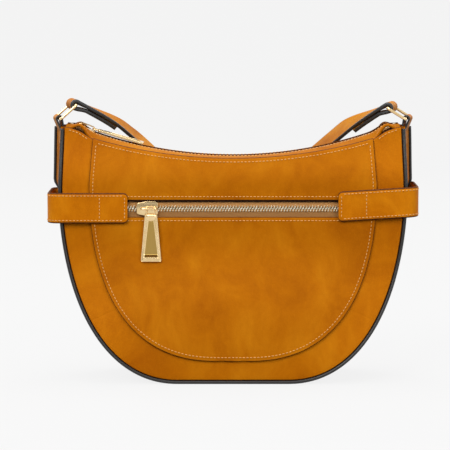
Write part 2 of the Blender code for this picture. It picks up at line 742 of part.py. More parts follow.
def make_pull_plate(name, place, origin):
    """The flared plate of a pull, with a slot near its foot."""
    half = PULL_THICKNESS / 2
    outline = pull_outline()
    front = [[place(-w, d, half), place(w, d, half)] for d, w in outline]
    back = [[place(-w, d, -half), place(w, d, -half)] for d, w in outline]
    pull = slab(name, front, back, BRASS_METAL, origin=origin)
    slot_end = PULL_NECK + PULL_LENGTH - PULL_SLOT_FROM_FOOT
    low = (-PULL_SLOT_WIDTH / 2, slot_end - PULL_SLOT_HEIGHT, -OVERRUN)
    slot = placed_box(name + "_slot", low, (PULL_SLOT_WIDTH / 2, slot_end, OVERRUN), place, origin)
    add_tool(pull, slot, "DIFFERENCE")
    return pull


def placed_box(name, low, high, place, origin):
    return add_mesh(name, [place(*p) for p in box_points(low, high)], BOX_FACES, BRASS_METAL, origin)


def pull_placer(hinge, across, down, up):
    """Turns a pull's own (side, reach, lift) into a place in the world."""
    def place(side, reach, lift):
        return hinge + across * side + down * reach + up * lift
    return place


def make_double_eye(pull, place, origin):
    """An open head: two eyes closed round the bridge's bar, joined by a bar above and the plate below."""
    radius = EYE_INNER_RADIUS + EYE_WALL
    steps = 2 * TUBE_SIDES
    for number, middle in enumerate((-EYE_HALF_SPREAD, EYE_HALF_SPREAD)):
        label = pull.name + "_eye_" + str(number)
        sides = (middle - EYE_WIDTH / 2, middle + EYE_WIDTH / 2)
        grids = ([], [])
        for i in range(steps):
            turn = 2 * math.pi * i / steps
            for grid, size in zip(grids, (radius, EYE_INNER_RADIUS)):
                grid.append([place(s, size * math.cos(turn), size * math.sin(turn)) for s in sides])
        eye = slab(label, grids[0], grids[1], BRASS_METAL, ring=True, origin=origin)
        low = (sides[0] + EYE_FLUSH, EYE_INNER_RADIUS + EYE_WALL / 2, -EYE_WALL)
        high = (sides[1] - EYE_FLUSH, PULL_NECK + PULL_CORNER, EYE_WALL)
        add_tool(pull, placed_box(label + "_neck", low, high, place, origin), "UNION")
        add_tool(pull, eye, "UNION")
    low = (-EYE_HALF_SPREAD, -radius, -EYE_WALL / 2)
    high = (EYE_HALF_SPREAD, -EYE_INNER_RADIUS - EYE_FLUSH, EYE_WALL / 2)
    add_tool(pull, placed_box(pull.name + "_bar", low, high, place, origin), "UNION")


def make_frame_eye(pull, place, origin):
    """An open frame whose crossbar lies under the bridge, with the bridge's leg inside it."""
    wide = PULL_TOP_WIDTH / 2 - GAP
    half = EYE_WALL * 3 / 4
    for sign in (-1, 1):
        ends = (sign * wide, sign * (wide - 2 * EYE_WALL))
        low = (min(ends), -half, -half)
        high = (max(ends), PULL_NECK + PULL_CORNER, half)
        add_tool(pull, placed_box(pull.name + "_bar" + str(sign), low, high, place, origin), "UNION")
    inside = wide - EYE_WALL
    low = (-inside, GAP - half, GAP / 2 - half)
    high = (inside, half, half - GAP / 2)
    add_tool(pull, placed_box(pull.name + "_crossbar", low, high, place, origin), "UNION")


def make_front_slider_and_pull():
    along = Vector((1.0, 0.0, 0.0))
    up = Vector((0.0, -1.0, 0.0))
    across = Vector((0.0, 0.0, -1.0))
    origin = Vector((FRONT_SLIDER_X, -UPPER_HALF_DEPTH, FRONT_ZIP_HEIGHT))
    make_slider("front_slider", (origin, along, across, up), origin)
    inside = BRIDGE_SHIFT + BRIDGE_SPAN / 2 - BRIDGE_THICKNESS
    hinge = origin + up * bridge_level() + along * (inside - EYE_HALF_SPREAD - EYE_WIDTH / 2 - GAP)
    place = pull_placer(hinge, along, across, up)
    make_double_eye(make_pull_plate("front_pull", place, hinge), place, hinge)


def make_top_slider_and_pull():
    """The main zip's slider, closed at the left, and its pull lying along the zip."""
    frame = zip_frame(TOP_SLIDER_X, -THIN_LEATHER / 2 - GAP)
    origin, along, across, up = frame
    make_slider("top_slider", frame, Vector((0.0, 0.0, TOP_ZIP_HEIGHT + TOP_ZIP_RADIUS)))
    level = bridge_level() - (BRIDGE_RISE + BRIDGE_THICKNESS) / 2
    inside = BRIDGE_SHIFT + BRIDGE_SPAN / 2 - BRIDGE_THICKNESS
    hinge = origin + up * level + along * (inside - TOP_PULL_SETBACK)
    lift = math.cos(TOP_PULL_LIFT), math.sin(TOP_PULL_LIFT)
    place = pull_placer(hinge, across, along * lift[0] + up * lift[1], up * lift[0] - along * lift[1])
    make_frame_eye(make_pull_plate("top_pull", place, hinge), place, hinge)


def make_belt(name, sign):
    """A belt stitched to the front, looped round the gusset and stitched to the back."""
    front = UPPER_HALF_DEPTH + PANEL_LIFT + GAP + BELT_THICKNESS / 2
    back = UPPER_HALF_DEPTH + LEATHER + GAP + BELT_THICKNESS / 2
    reach = BELT_REACH - BELT_THICKNESS / 2
    path = [(BELT_END_HALF_WIDTH, -front), (BELT_STITCH_HALF_WIDTH, -front)]
    for centre_y, first in ((-front + BELT_CORNER, -math.pi / 2), (back - BELT_CORNER, 0.0)):
        for i in range(TUBE_SIDES + 1):
            turn = first + math.pi / 2 * i / TUBE_SIDES
            x = reach - BELT_CORNER + BELT_CORNER * math.cos(turn)
            path.append((x, centre_y + BELT_CORNER * math.sin(turn)))
    path += [(BELT_STITCH_HALF_WIDTH, back), (BELT_END_HALF_WIDTH, back)]
    levels = (BELT_HEIGHT_CENTRE - BELT_HEIGHT / 2, BELT_HEIGHT_CENTRE + BELT_HEIGHT / 2)
    outer_path = offset_path(path, BELT_THICKNESS / 2)
    inner_path = offset_path(path, -BELT_THICKNESS / 2)
    outer = [[(sign * x, y, z) for z in levels] for x, y in outer_path]
    inner = [[(sign * x, y, z) for z in levels] for x, y in inner_path]
    return slab(name, outer, inner, OCHRE_LEATHER)


def ring_frame(sign):
    """Pivot of a ring, the way inward across the bag and the way along its lower bar."""
    bar = Vector((sign * math.sin(RING_YAW), math.cos(RING_YAW), 0.0))
    inward = Vector((-sign * math.cos(RING_YAW), math.sin(RING_YAW), 0.0))
    pivot = Vector((sign * RING_PIVOT_X, 0.0, RING_PIVOT_HEIGHT))
    return pivot, inward, bar


def ring_direction(side, sign):
    """Direction from the lower bar of a ring to its upper bar."""
    pivot, inward, bar = ring_frame(sign)
    tilt = RING_TILTS[side]
    return inward * math.cos(tilt) + Vector((0.0, 0.0, math.sin(tilt)))


def make_ring(side, sign):
    """A rectangular wire ring with rounded corners, held by the tab round its lower bar."""
    pivot, inward, bar = ring_frame(sign)
    reach = ring_direction(side, sign)
    half = STRAP_WIDTH / 2 + RING_CORNER
    path = []
    corners = ((RING_REACH - RING_CORNER, half - RING_CORNER), (RING_REACH - RING_CORNER, RING_CORNER - half),
               (RING_CORNER, RING_CORNER - half), (RING_CORNER, half - RING_CORNER))
    for number, (centre_reach, centre_side) in enumerate(corners):
        for i in range(RING_CORNER_STEPS + 1):
            turn = math.pi / 2 * (1 - number - i / RING_CORNER_STEPS)
            a = centre_reach + RING_CORNER * math.cos(turn)
            b = centre_side + RING_CORNER * math.sin(turn)
            path.append(pivot + reach * a + bar * b)
    return tube("ring_" + side, path, RING_WIRE_RADIUS, BRASS_METAL, closed=True, origin=pivot)


def loop_strip(pivot, inward, bar, path, thickness, width, name, look):
    """A strip bent in the plane square to a ring's bars, given as (inward, up) points."""
    outer_path = offset_path(path, thickness / 2)
    inner_path = offset_path(path, -thickness / 2)
    up = Vector((0.0, 0.0, 1.0))

    def row(point):
        return [pivot + inward * point[0] + up * point[1] + bar * s for s in (-width / 2, width / 2)]

    return slab(name, [row(p) for p in outer_path], [row(p) for p in inner_path], look)


def make_ring_tab(side, sign):
    """A leather tab folded round the ring's lower bar, with both ends sewn into the gusset's fold."""
    pivot, inward, bar = ring_frame(sign)
    radius = RING_WIRE_RADIUS + GAP + TAB_THICKNESS / 2
    foot = TAB_FOOT_HEIGHT - RING_PIVOT_HEIGHT
    gusset_x = upright_half_width(TAB_FOOT_HEIGHT) - fold_depth(TAB_FOOT_HEIGHT)
    gusset_x += side_flare(TAB_FOOT_HEIGHT, 1 / 2)
    sway = TAB_WIDTH / 2 * math.sin(RING_YAW)
    inner_leg = RING_PIVOT_X - gusset_x - TAB_THICKNESS / 2 - sway - GAP
    outer_leg = inner_leg - TAB_THICKNESS - GAP
    middle = foot / 2
    path = [(outer_leg, foot), (outer_leg, middle)]
    for i in range(2 * TUBE_SIDES + 1):
        turn = math.pi + TAB_CLOSE_TURN - (math.pi + 2 * TAB_CLOSE_TURN) * i / (2 * TUBE_SIDES)
        path.append((radius * math.cos(turn), radius * math.sin(turn)))
    path += [(inner_leg, middle), (inner_leg, foot)]
    loop_strip(pivot, inward, bar, path, TAB_THICKNESS, TAB_WIDTH, "ring_tab_" + side, OCHRE_LEATHER)


def curve_through(points, steps):
    """A smooth curve through points of any dimension."""
    values = np.array(points, dtype=float)
    padded = np.vstack([2 * values[0] - values[1], values, 2 * values[-1] - values[-2]])
    result = []
    for i in range(len(values) - 1):
        p0, p1, p2, p3 = padded[i:i + 4]
        for k in range(steps):
            t = k / steps
            result.append(0.5 * (2 * p1 + (p2 - p0) * t + (2 * p0 - 5 * p1 + 4 * p2 - p3) * t * t
                                 + (3 * p1 - p0 - 3 * p2 + p3) * t ** 3))
    result.append(values[-1])
    return result


# Strap route from the left ring to the right one, as its front edge: (x, height) in metres,
# the depth of that edge behind the middle, and the lean of the strap's width outward in degrees
STRAP_ROUTE = (
    ((-0.0890, 0.2000), 0.0150, 10),
    ((-0.0775, 0.1890), 0.0235, 12),
    ((-0.0450, 0.1600), 0.0290, 8),
    ((0.0000, 0.1230), 0.0300, 2),
    ((0.0420, 0.0850), 0.0330, 0),
    ((0.0640, 0.0430), 0.0390, 0),
    ((0.0480, 0.0120), 0.0450, 0),
    ((0.0000, 0.0032), 0.0530, 0),
    ((-0.0480, 0.0120), 0.0610, 0),
    ((-0.0640, 0.0430), 0.0650, 0),
    ((-0.0420, 0.0850), 0.0640, 0),
    ((0.0000, 0.1230), 0.0600, 4),
    ((0.0450, 0.1560), 0.0460, 18),
    ((0.0830, 0.1885), 0.0245, 26),
    ((0.0930, 0.1980), 0.0175, 18),
)


def strap_fold(side, sign):
    """The strap's end round a ring's upper bar: centre points from the free end to the run."""
    pivot, inward, bar = ring_frame(sign)
    bar_centre = pivot + ring_direction(side, sign) * RING_REACH
    slope = STRAP_SLOPES[side]
    up = Vector((0.0, 0.0, 1.0))
    run = inward * math.cos(slope) - up * math.sin(slope)
    normal = inward * math.sin(slope) + up * math.cos(slope)
    radius = RING_WIRE_RADIUS + GAP + STRAP_THICKNESS / 2
    skew = math.tan(STRAP_SKEW)

    def place(reach, height):
        return bar_centre + run * reach + normal * height + bar * reach * skew

    under = radius - STRAP_THICKNESS - GAP
    points = [place(STRAP_FOLD_LENGTH, under), place(STRAP_FOLD_LENGTH / 2, under), place(3 * radius, under)]
    for i in range(2 * TUBE_SIDES + 1):
        turn = -math.pi / 2 - math.pi * i / (2 * TUBE_SIDES)
        points.append(bar_centre + run * radius * math.cos(turn) + normal * radius * math.sin(turn))
    points.append(place(STRAP_FOLD_LENGTH / 2, radius))
    points.append(place(STRAP_FOLD_LENGTH, radius))
    return points, bar


def route_stations():
    """Centre and width direction of the strap between its two folded ends."""
    edges = curve_through([(x, y, z, lean) for (x, z), y, lean in STRAP_ROUTE], STRAP_STEPS)
    stations = []
    for i, (x, y, z, lean) in enumerate(edges):
        ahead = edges[min(i + 1, len(edges) - 1)]
        behind = edges[max(i - 1, 0)]
        along = Vector((ahead[0] - behind[0], 0.0, ahead[2] - behind[2])).normalized()
        side_axis = Vector((-along.z, 0.0, along.x))
        turn = math.radians(lean)
        width = Vector((0.0, math.cos(turn), 0.0)) + side_axis * math.sin(turn)
        stations.append((Vector((x, y, z)) + width * STRAP_WIDTH / 2, width))
    return stations


def make_strap():
    """One leather strap: folded round both upper bars and crossing itself behind the bag."""
    left, left_bar = strap_fold("left", -1)
    right, right_bar = strap_fold("right", 1)
    stations = [(p, left_bar) for p in left] + route_stations() + [(p, right_bar) for p in reversed(right)]
    outer = []
    inner = []
    for i, (centre, width) in enumerate(stations):
        along = stations[min(i + 1, len(stations) - 1)][0] - stations[max(i - 1, 0)][0]
        normal = along.cross(width).normalized() * (STRAP_THICKNESS / 2)
        half = width.normalized() * (STRAP_WIDTH / 2)
        outer.append([centre - half + normal, centre + half + normal])
        inner.append([centre - half - normal, centre + half - normal])
    return slab("strap", outer, inner, OCHRE_LEATHER)


def make_lining():
    """A cloth bag inside the body, open at the top."""
    rows_outer = []
    rows_inner = []
    side = [p for p in inset_side(body_side(), LINING_INSET) if p[1] < LINING_TOP_HEIGHT - PIPING_RADIUS]
    side.append((side[-1][0] - FOLD_DEPTH / 2, LINING_TOP_HEIGHT))
    for rows, extra in ((rows_outer, 0.0), (rows_inner, LINING_THICKNESS)):
        for half, z in side:
            z_here = z + extra * (1 - smooth_step(z / UPPER_FROM_HEIGHT))
            depth = half_depth(z) - LINING_INSET - extra
            half_here = half - extra
            rows.append([(-half_here, -depth, z_here), (half_here, -depth, z_here),
                         (half_here, depth, z_here), (-half_here, depth, z_here)])
    points = [p for row in rows_outer for p in row] + [p for row in rows_inner for p in row]
    count = len(side)
    shift = 4 * count
    faces = [(0, 1, 2, 3), (shift, shift + 3, shift + 2, shift + 1)]
    for i in range(count - 1):
        for k in range(4):
            a, b = 4 * i + k, 4 * i + (k + 1) % 4
            faces.append((a, b, b + 4, a + 4))
            faces.append((b + shift, a + shift, a + 4 + shift, b + 4 + shift))
    top = 4 * (count - 1)
    for k in range(4):
        a, b = top + k, top + (k + 1) % 4
        faces.append((a, b, b + shift, a + shift))
    return add_mesh("main_lining", points, faces, LINING_CLOTH)


def make_pocket_lining():
    """The front pocket: a flat cloth pouch behind the panel, open where the zip's slot is."""
    low = FRONT_ZIP_HEIGHT - POCKET_DEPTH
    high = FRONT_ZIP_HEIGHT + TAPE_HALF_WIDTH
    outer = []
    inner = []
    for i in range(2 * TUBE_SIDES + 1):
        z = low + (high - low) * i / (2 * TUBE_SIDES)
        front = half_depth(z) - LEATHER - GAP
        outer.append([(x, -front, z) for x in (-POCKET_HALF_WIDTH, POCKET_HALF_WIDTH)])
        inner.append([(x, -front + POCKET_THICKNESS, z) for x in (-POCKET_HALF_WIDTH, POCKET_HALF_WIDTH)])
    return slab("front_pocket_lining", outer, inner, LINING_CLOTH)


def make_base_board():
    """The stiffener that lies inside on the base and keeps it flat."""
    floor = LINING_INSET + LINING_THICKNESS + GAP
    half_x = BASE_HALF_WIDTH - GAP
    half_y = BASE_HALF_DEPTH - LINING_INSET - BOARD_MARGIN
    low = (-half_x, -half_y, floor)
    high = (half_x, half_y, floor + BOARD_THICKNESS)
    return add_mesh("base_board", box_points(low, high), BOX_FACES, BLACK_LEATHER)


clear_scene()
make_front_panel()
make_front_bands()
plate("back_panel", back_side(inset_side(body_side(), SEAM_INSET)), 1, 0.0, LEATHER, OCHRE_LEATHER)
make_gusset()
make_piping("front_piping", -1)
make_piping("back_piping", 1)
make_top_band("top_band_front", -1)
make_top_band("top_band_back", 1)
make_front_tape("front_zip_tape_upper", 1)
make_front_tape("front_zip_tape_lower", -1)
make_front_stops()
make_top_tape("top_zip_tape_front", -1)
make_top_tape("top_zip_tape_back", 1)
make_top_stops()
make_front_slider_and_pull()
make_top_slider_and_pull()
for belt_side, belt_sign in (("left", -1), ("right", 1)):
    make_belt("belt_" + belt_side, belt_sign)
    make_ring(belt_side, belt_sign)
    make_ring_tab(belt_side, belt_sign)
make_lining()
make_strap()
make_pocket_lining()
make_base_board()
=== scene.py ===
import math

import bmesh
import bpy
import numpy as np
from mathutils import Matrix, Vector, noise


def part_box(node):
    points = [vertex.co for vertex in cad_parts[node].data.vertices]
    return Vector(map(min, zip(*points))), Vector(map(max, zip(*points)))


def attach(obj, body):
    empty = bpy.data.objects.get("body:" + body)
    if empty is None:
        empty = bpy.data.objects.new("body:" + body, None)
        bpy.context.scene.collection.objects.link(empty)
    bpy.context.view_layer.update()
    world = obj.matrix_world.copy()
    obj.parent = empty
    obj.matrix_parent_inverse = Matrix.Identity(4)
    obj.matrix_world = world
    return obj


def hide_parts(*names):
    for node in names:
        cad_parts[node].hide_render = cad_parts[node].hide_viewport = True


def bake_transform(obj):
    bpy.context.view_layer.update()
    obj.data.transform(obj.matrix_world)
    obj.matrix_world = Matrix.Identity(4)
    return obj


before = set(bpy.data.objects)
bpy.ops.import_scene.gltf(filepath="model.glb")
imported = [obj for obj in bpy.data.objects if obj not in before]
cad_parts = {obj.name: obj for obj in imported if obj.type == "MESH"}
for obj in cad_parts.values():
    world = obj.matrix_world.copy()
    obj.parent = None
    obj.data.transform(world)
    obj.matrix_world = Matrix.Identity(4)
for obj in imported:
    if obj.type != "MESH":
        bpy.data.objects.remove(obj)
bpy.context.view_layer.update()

# Body outline and depth, the same forms as the solids have
BASE_HALF_WIDTH = 0.044
WIDEST_HALF_WIDTH = 0.1403
WIDEST_HEIGHT = 0.157
CORNER_HALF_WIDTH = 0.1385
CORNER_HEIGHT = 0.205
OUTLINE_POWER = 2.15
TOP_DIP_HEIGHT = 0.1795
TOP_EDGE_RADIUS = 0.410
HORN_START_HALF_WIDTH = 0.112
HORN_LIFT = 0.0035
HORN_LIFT_HALF_WIDTH = 0.126
BASE_HALF_DEPTH = 0.040
UPPER_HALF_DEPTH = 0.024
UPPER_FROM_HEIGHT = 0.112
HORN_HALF_DEPTH = 0.0155
PINCH_FROM_HEIGHT = 0.158
LEATHER = 0.0018
GAP = 0.0003
PANEL_LIFT = LEATHER + GAP
PIPING_RADIUS = 0.0014
PANEL_BASE_HALF_WIDTH = 0.010
PANEL_HALF_WIDTH = 0.1155
PANEL_WIDEST_HEIGHT = 0.160
PANEL_FOOT_HEIGHT = 0.0185
PANEL_POWER = 2.4
PANEL_TOP_HALF_WIDTH = 0.1127
FOLD_FROM_HEIGHT = 0.128
FOLD_DEPTH = 0.0070

# Steps of the meshes
CURVE_STEPS = 256
TOP_STEPS = 72
LINE_PITCH = 0.0022
SEAM_PITCH = 0.0025
STITCH_LINE_PITCH = 0.0015
TUBE_SIDES = 12
EDGE_ROUND = 0.0007

# Camera, set as the photograph's
FRAME_PIXELS = 450
METRES_PER_PIXEL = 0.000805
CAMERA_DISTANCE = 2.0
CAMERA_ELEVATION = math.radians(6.0)
CAMERA_TARGET = Vector((-0.0064, -0.02, 0.1262))

SIDES = (("left", -1), ("right", 1))
DEPTHS = (("front", -1), ("back", 1))
RIGHT = Vector((1, 0, 0))
FORWARD = Vector((0, -1, 0))
BACK = Vector((0, 1, 0))
UP = Vector((0, 0, 1))
FULL_TURN = 2 * math.pi


# Lines and curves
def smooth_step(value):
    """Rises softly from 0 to 1 while the value does."""
    value = np.clip(value, 0.0, 1.0)
    return value * value * (3 - 2 * value)


def unit_rows(rows):
    """Vectors in rows, each scaled to length one."""
    return rows / np.linalg.norm(rows, axis=1)[:, None]


def as_array(points):
    """An array of points or vectors, one in each row."""
    return np.array([tuple(p) for p in points])


def lengths_along(line):
    """Length of a line from its start to each of its points."""
    return np.concatenate([[0.0], np.cumsum(np.linalg.norm(np.diff(line, axis=0), axis=1))])


def sample_line(values, lengths, wanted):
    """Values of a line's points, read at the wanted lengths along it."""
    return np.stack([np.interp(wanted, lengths, values[:, k]) for k in range(values.shape[1])], axis=1)


def resample(points, pitch):
    """Points at an even pitch along an open line of any dimension."""
    lengths = lengths_along(points)
    count = max(int(round(lengths[-1] / pitch)), 1)
    return sample_line(points, lengths, np.linspace(0.0, lengths[-1], count + 1))


def half_depth(height):
    """Half depth of the body at a height."""
    lower = smooth_step(height / UPPER_FROM_HEIGHT)
    upper = smooth_step((height - PINCH_FROM_HEIGHT) / (CORNER_HEIGHT - PINCH_FROM_HEIGHT))
    return (BASE_HALF_DEPTH + (UPPER_HALF_DEPTH - BASE_HALF_DEPTH) * lower
            + (HORN_HALF_DEPTH - UPPER_HALF_DEPTH) * upper)


def top_edge(x):
    """Height of the panels' top edge at x."""
    reach = np.minimum(np.abs(x), CORNER_HALF_WIDTH)
    arc = TOP_DIP_HEIGHT + TOP_EDGE_RADIUS - np.sqrt(TOP_EDGE_RADIUS ** 2 - reach ** 2)
    rise = smooth_step((reach - HORN_START_HALF_WIDTH) / (HORN_LIFT_HALF_WIDTH - HORN_START_HALF_WIDTH))
    return np.minimum(arc + HORN_LIFT * rise, CORNER_HEIGHT)


BODY_CORNER = np.array([[CORNER_HALF_WIDTH, CORNER_HEIGHT]])
PANEL_CORNER = np.array([[PANEL_TOP_HALF_WIDTH, top_edge(PANEL_TOP_HALF_WIDTH)]])


def superellipse_side(foot, half_width, foot_height, widest_height, power, steps):
    """A right-hand side as (x, z), from its foot up to its widest height."""
    turn = math.pi / 2 * (1 - np.arange(steps + 1) / steps)
    x = foot + (half_width - foot) * np.abs(np.cos(turn)) ** (2 / power)
    z = widest_height - (widest_height - foot_height) * np.abs(np.sin(turn)) ** (2 / power)
    return np.stack([x, z], axis=1)


def body_curve(steps=CURVE_STEPS):
    """The body's right-hand side up to its widest height."""
    return superellipse_side(BASE_HALF_WIDTH, WIDEST_HALF_WIDTH, 0.0, WIDEST_HEIGHT, OUTLINE_POWER, steps)


def panel_curve(steps=CURVE_STEPS):
    """The raised panel's right-hand side up to its widest height."""
    return superellipse_side(PANEL_BASE_HALF_WIDTH, PANEL_HALF_WIDTH, PANEL_FOOT_HEIGHT,
                             PANEL_WIDEST_HEIGHT, PANEL_POWER, steps)


def body_side():
    """The body's whole right-hand side."""
    return np.vstack([body_curve(), BODY_CORNER])


def panel_side():
    """The raised panel's whole right-hand side."""
    return np.vstack([panel_curve(), PANEL_CORNER])


def mirror_line(side):
    """An open line from the left top, down and under, to the right top."""
    return np.vstack([side[::-1] * np.array([-1.0, 1.0]), side])


def normals_of(line):
    """Unit normals that point outward from a line that runs up the right-hand side."""
    step = unit_rows(np.gradient(line, axis=0))
    return np.stack([step[:, 1], -step[:, 0]], axis=1)


def inset_line(line, inset):
    """A line moved inward, against its outward normals."""
    return line - normals_of(line) * inset


def top_line(corner):
    """The top edge from the right corner to the left one."""
    x = np.linspace(corner, -corner, TOP_STEPS + 1)
    return np.stack([x, top_edge(x)], axis=1)


# Meshes
def add_mesh(name, points, faces, body="bag"):
    """A smooth mesh piece from points and faces, turned outward, that rides on a body."""
    mesh = bpy.data.meshes.new(name)
    mesh.from_pydata([tuple(p) for p in points], [], [tuple(f) for f in faces])
    work = bmesh.new()
    work.from_mesh(mesh)
    bmesh.ops.recalc_face_normals(work, faces=work.faces)
    work.to_mesh(mesh)
    work.free()
    mesh.shade_smooth()
    piece = bpy.data.objects.new(name, mesh)
    bpy.context.scene.collection.objects.link(piece)
    if body:
        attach(piece, body)
    return piece


def dress(piece, materials, node=None):
    """Gives a piece its materials and slot, and lets it replace a node."""
    piece.data.materials.clear()
    for material in materials:
        piece.data.materials.append(material)
    if node:
        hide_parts(node)
    return piece


def grid_piece(name, grid, body="bag", ring=False):
    """A mesh from rows of points; a ring joins its last row to its first."""
    grid = np.asarray(grid)
    rows, columns = grid.shape[:2]
    faces = []
    for i in range(rows if ring else rows - 1):
        for j in range(columns - 1):
            a = i * columns + j
            b = ((i + 1) % rows) * columns + j
            faces.append((a, a + 1, b + 1, b))
    return add_mesh(name, grid.reshape(-1, 3), faces, body)


def tube_faces(count, sides, first=0):
    """Faces round a row of closed rings of points, and then its two end faces."""
    faces = []
    for a in range(first, first + (count - 1) * sides, sides):
        for j in range(sides):
            k = (j + 1) % sides
            faces.append((a + j, a + k, a + sides + k, a + sides + j))
    last = first + (count - 1) * sides
    return faces + [tuple(range(first, first + sides)), tuple(range(last, last + sides))]


def tube_piece(name, path, radius, sides=TUBE_SIDES, body="bag", first_side=tuple(BACK)):
    """A round tube along a path, closed at both ends."""
    path = np.asarray(path, dtype=float)
    side = np.array(first_side)
    turns = FULL_TURN * np.arange(sides) / sides
    points = []
    for centre, along in zip(path, unit_rows(np.gradient(path, axis=0))):
        side = side - along * side.dot(along)
        side /= np.linalg.norm(side)
        third = np.cross(along, side)
        points.append(centre + radius * (np.cos(turns)[:, None] * side + np.sin(turns)[:, None] * third))
    return add_mesh(name, np.vstack(points), tube_faces(len(path), sides), body)


def join_pieces(name, pieces):
    """Joins the meshes of several pieces, which all ride on one body, into the first one."""
    work = bmesh.new()
    for piece in pieces:
        work.from_mesh(piece.data)
    first = pieces[0]
    for piece in pieces[1:]:
        bpy.data.objects.remove(piece, do_unlink=True)
    work.to_mesh(first.data)
    work.free()
    first.data.shade_smooth()
    first.name = name
    return first


def rounded_box_points(half, bevel):
    """A box with rounded edges as points and faces, centred on the origin."""
    work = bmesh.new()
    bmesh.ops.create_cube(work, size=2.0)
    for vert in work.verts:
        vert.co = Vector([c * h for c, h in zip(vert.co, half)])
    bmesh.ops.bevel(work, geom=work.edges[:], offset=bevel, segments=2, profile=0.6, affect="EDGES")
    work.verts.index_update()
    points = [v.co.copy() for v in work.verts]
    faces = [[v.index for v in f.verts] for f in work.faces]
    work.free()
    return points, faces


# Materials
OCHRE_DARK = (0.325, 0.081, 0.0005)
OCHRE = (0.440, 0.129, 0.0012)
OCHRE_LIGHT = (0.530, 0.178, 0.0034)
OCHRE_SHEEN = (1.0, 0.50, 0.12, 1.0)
STREAK_SHADE = 0.86
THREAD_DARK = (0.576, 0.3024, 0.0864)
THREAD = (0.80, 0.42, 0.12)
EVEN = (1.0, 1.0, 1.0)

# Leather's noises as stretch, scale, detail and roughness; bumps as strength and distance
PATCH_STRETCH = (1.0, 1.0, 0.75)
PATCH_GRAIN = (5.0, 0.62, 0.6)
PATCH_STOPS = (0.30, 0.50, 0.70)
PATCH_ROUGHNESS = (0.62, 0.46)
STREAKS = ((1.0, 1.0, 0.35), 160.0, 4.0, 0.7)
STREAK_RANGE = (0.0, 0.5)
SPECKS = (PATCH_STRETCH, 900.0, 2.0, 0.5)
SPECK_RANGE = (-0.35, 0.35)
PORE_SCALE = 1300.0
PORE_BUMP = (0.22, 0.0002)
CREASES = (EVEN, 240.0, 3.0, 0.5)
CREASE_BUMP = (0.30, 0.0004)

# Woven zip tape
TAPE_COLOR = (0.38, 0.175, 0.050)
TAPE_ROUGHNESS = 0.85
TAPE_STOPS = ((0.15, (0.24, 0.095, 0.022)), (0.60, (0.52, 0.250, 0.072)))
RIB_SCALE = 330.0
WEFT_SCALE = 620.0
WEFT_SHARE = 0.3
WEAVE_DISTORTION = 0.8
WEAVE_BUMP = (0.6, 0.0003)

# Painted light level, size of the patches, painted share of green and gloss of each piece's copy of the one ochre
# leather; the level brightens or darkens a copy and the green share shifts its hue, as painted light for how the
# lamps fall on that piece
LEATHERS = {
    "ochre_leather": (1.06, 26.0, 1.0, 0.24),
    "ochre_leather_band": (1.15, 21.0, 1.0, 0.24),
    "ochre_leather_back": (0.96, 20.0, 1.0, 0.24),
    "ochre_leather_gusset": (0.92, 22.0, 1.0, 0.24),
    "ochre_leather_trim": (0.84, 22.0, 1.08, 0.10),
    "ochre_leather_belt": (1.29, 30.0, 1.0, 0.24),
    "ochre_leather_tab": (0.92, 30.0, 1.14, 0.08),
    "ochre_leather_strap": (0.90, 34.0, 1.17, 0.05),
}

# Every other finish: one noise colours, roughens and bumps it. The grain is the noise's stretch,
# scale, detail and roughness; a bump is a strength and a distance.
FINISHES = {
    "black_piping": dict(color=(0.012, 0.010, 0.009), roughness=0.38, specular=0.45,
                         grain=(EVEN, 520.0, 3.0, 0.5), rough=(0.28, 0.55), bump=(0.35, 0.0003)),
    "edge_paint": dict(color=(0.010, 0.009, 0.008), roughness=0.45, grain=(EVEN, 700.0, 2.0, 0.5),
                       bump=(0.2, 0.0002)),
    "thread": dict(color=THREAD, roughness=0.6, grain=(EVEN, 2600.0, 1.0, 0.5),
                   ramp=((0.35, THREAD_DARK), (0.65, THREAD))),
    "brass": dict(color=(0.86, 0.62, 0.28), roughness=0.22, metallic=1.0, grain=(EVEN, 210.0, 3.0, 0.5),
                  ramp=((0.30, (0.80, 0.57, 0.28)), (0.66, (0.87, 0.66, 0.36))), rough=(0.20, 0.13),
                  scratches=((1.0, 1.0, 12.0), 500.0, 2.0, 0.5), bump=(0.02, 0.00005)),
    "olive_brass": dict(color=(0.42, 0.27, 0.075), roughness=0.42, metallic=1.0,
                        grain=((8.0, 8.0, 1.0), 500.0, 2.0, 0.5), rough=(0.36, 0.52), bump=(0.08, 0.0001)),
    "teeth_brass": dict(color=(0.72, 0.60, 0.40), roughness=0.24, metallic=1.0,
                        grain=(EVEN, 700.0, 2.0, 0.5),
                        ramp=((0.35, (0.58, 0.46, 0.28)), (0.65, (0.88, 0.78, 0.60)))),
    "lining_cloth": dict(color=(0.12, 0.085, 0.05), roughness=0.9, grain=((1.0, 1.0, 6.0), 600.0, 2.0, 0.5),
                         ramp=((0.3, (0.085, 0.058, 0.034)), (0.7, (0.15, 0.11, 0.065))),
                         bump=(0.4, 0.0003)),
    "stiffener": dict(color=(0.20, 0.19, 0.18), roughness=0.9, grain=(EVEN, 300.0, 4.0, 0.8),
                      ramp=((0.3, (0.14, 0.13, 0.12)), (0.7, (0.27, 0.26, 0.24)))),
    # Dark edge of the leather; on rolled sheets it is also painted shade along the raised panel's and the front
    # slot's edges.
    "edge_leather_and_shade": dict(color=(0.11, 0.032, 0.003), roughness=0.7, specular=0.15,
                         grain=(EVEN, 800.0, 3.0, 0.5),
                         ramp=((0.3, (0.060, 0.016, 0.002)), (0.7, (0.13, 0.036, 0.004))),
                         bump=(0.3, 0.0002)),
    # Near-black brown for the strip along the front slot's upper edge, a painted shadow.
    "slot_shadow_dark": dict(color=(0.016, 0.006, 0.003), roughness=0.95, specular=0.1,
                      grain=(EVEN, 900.0, 2.0, 0.5), bump=(0.3, 0.0002)),
}


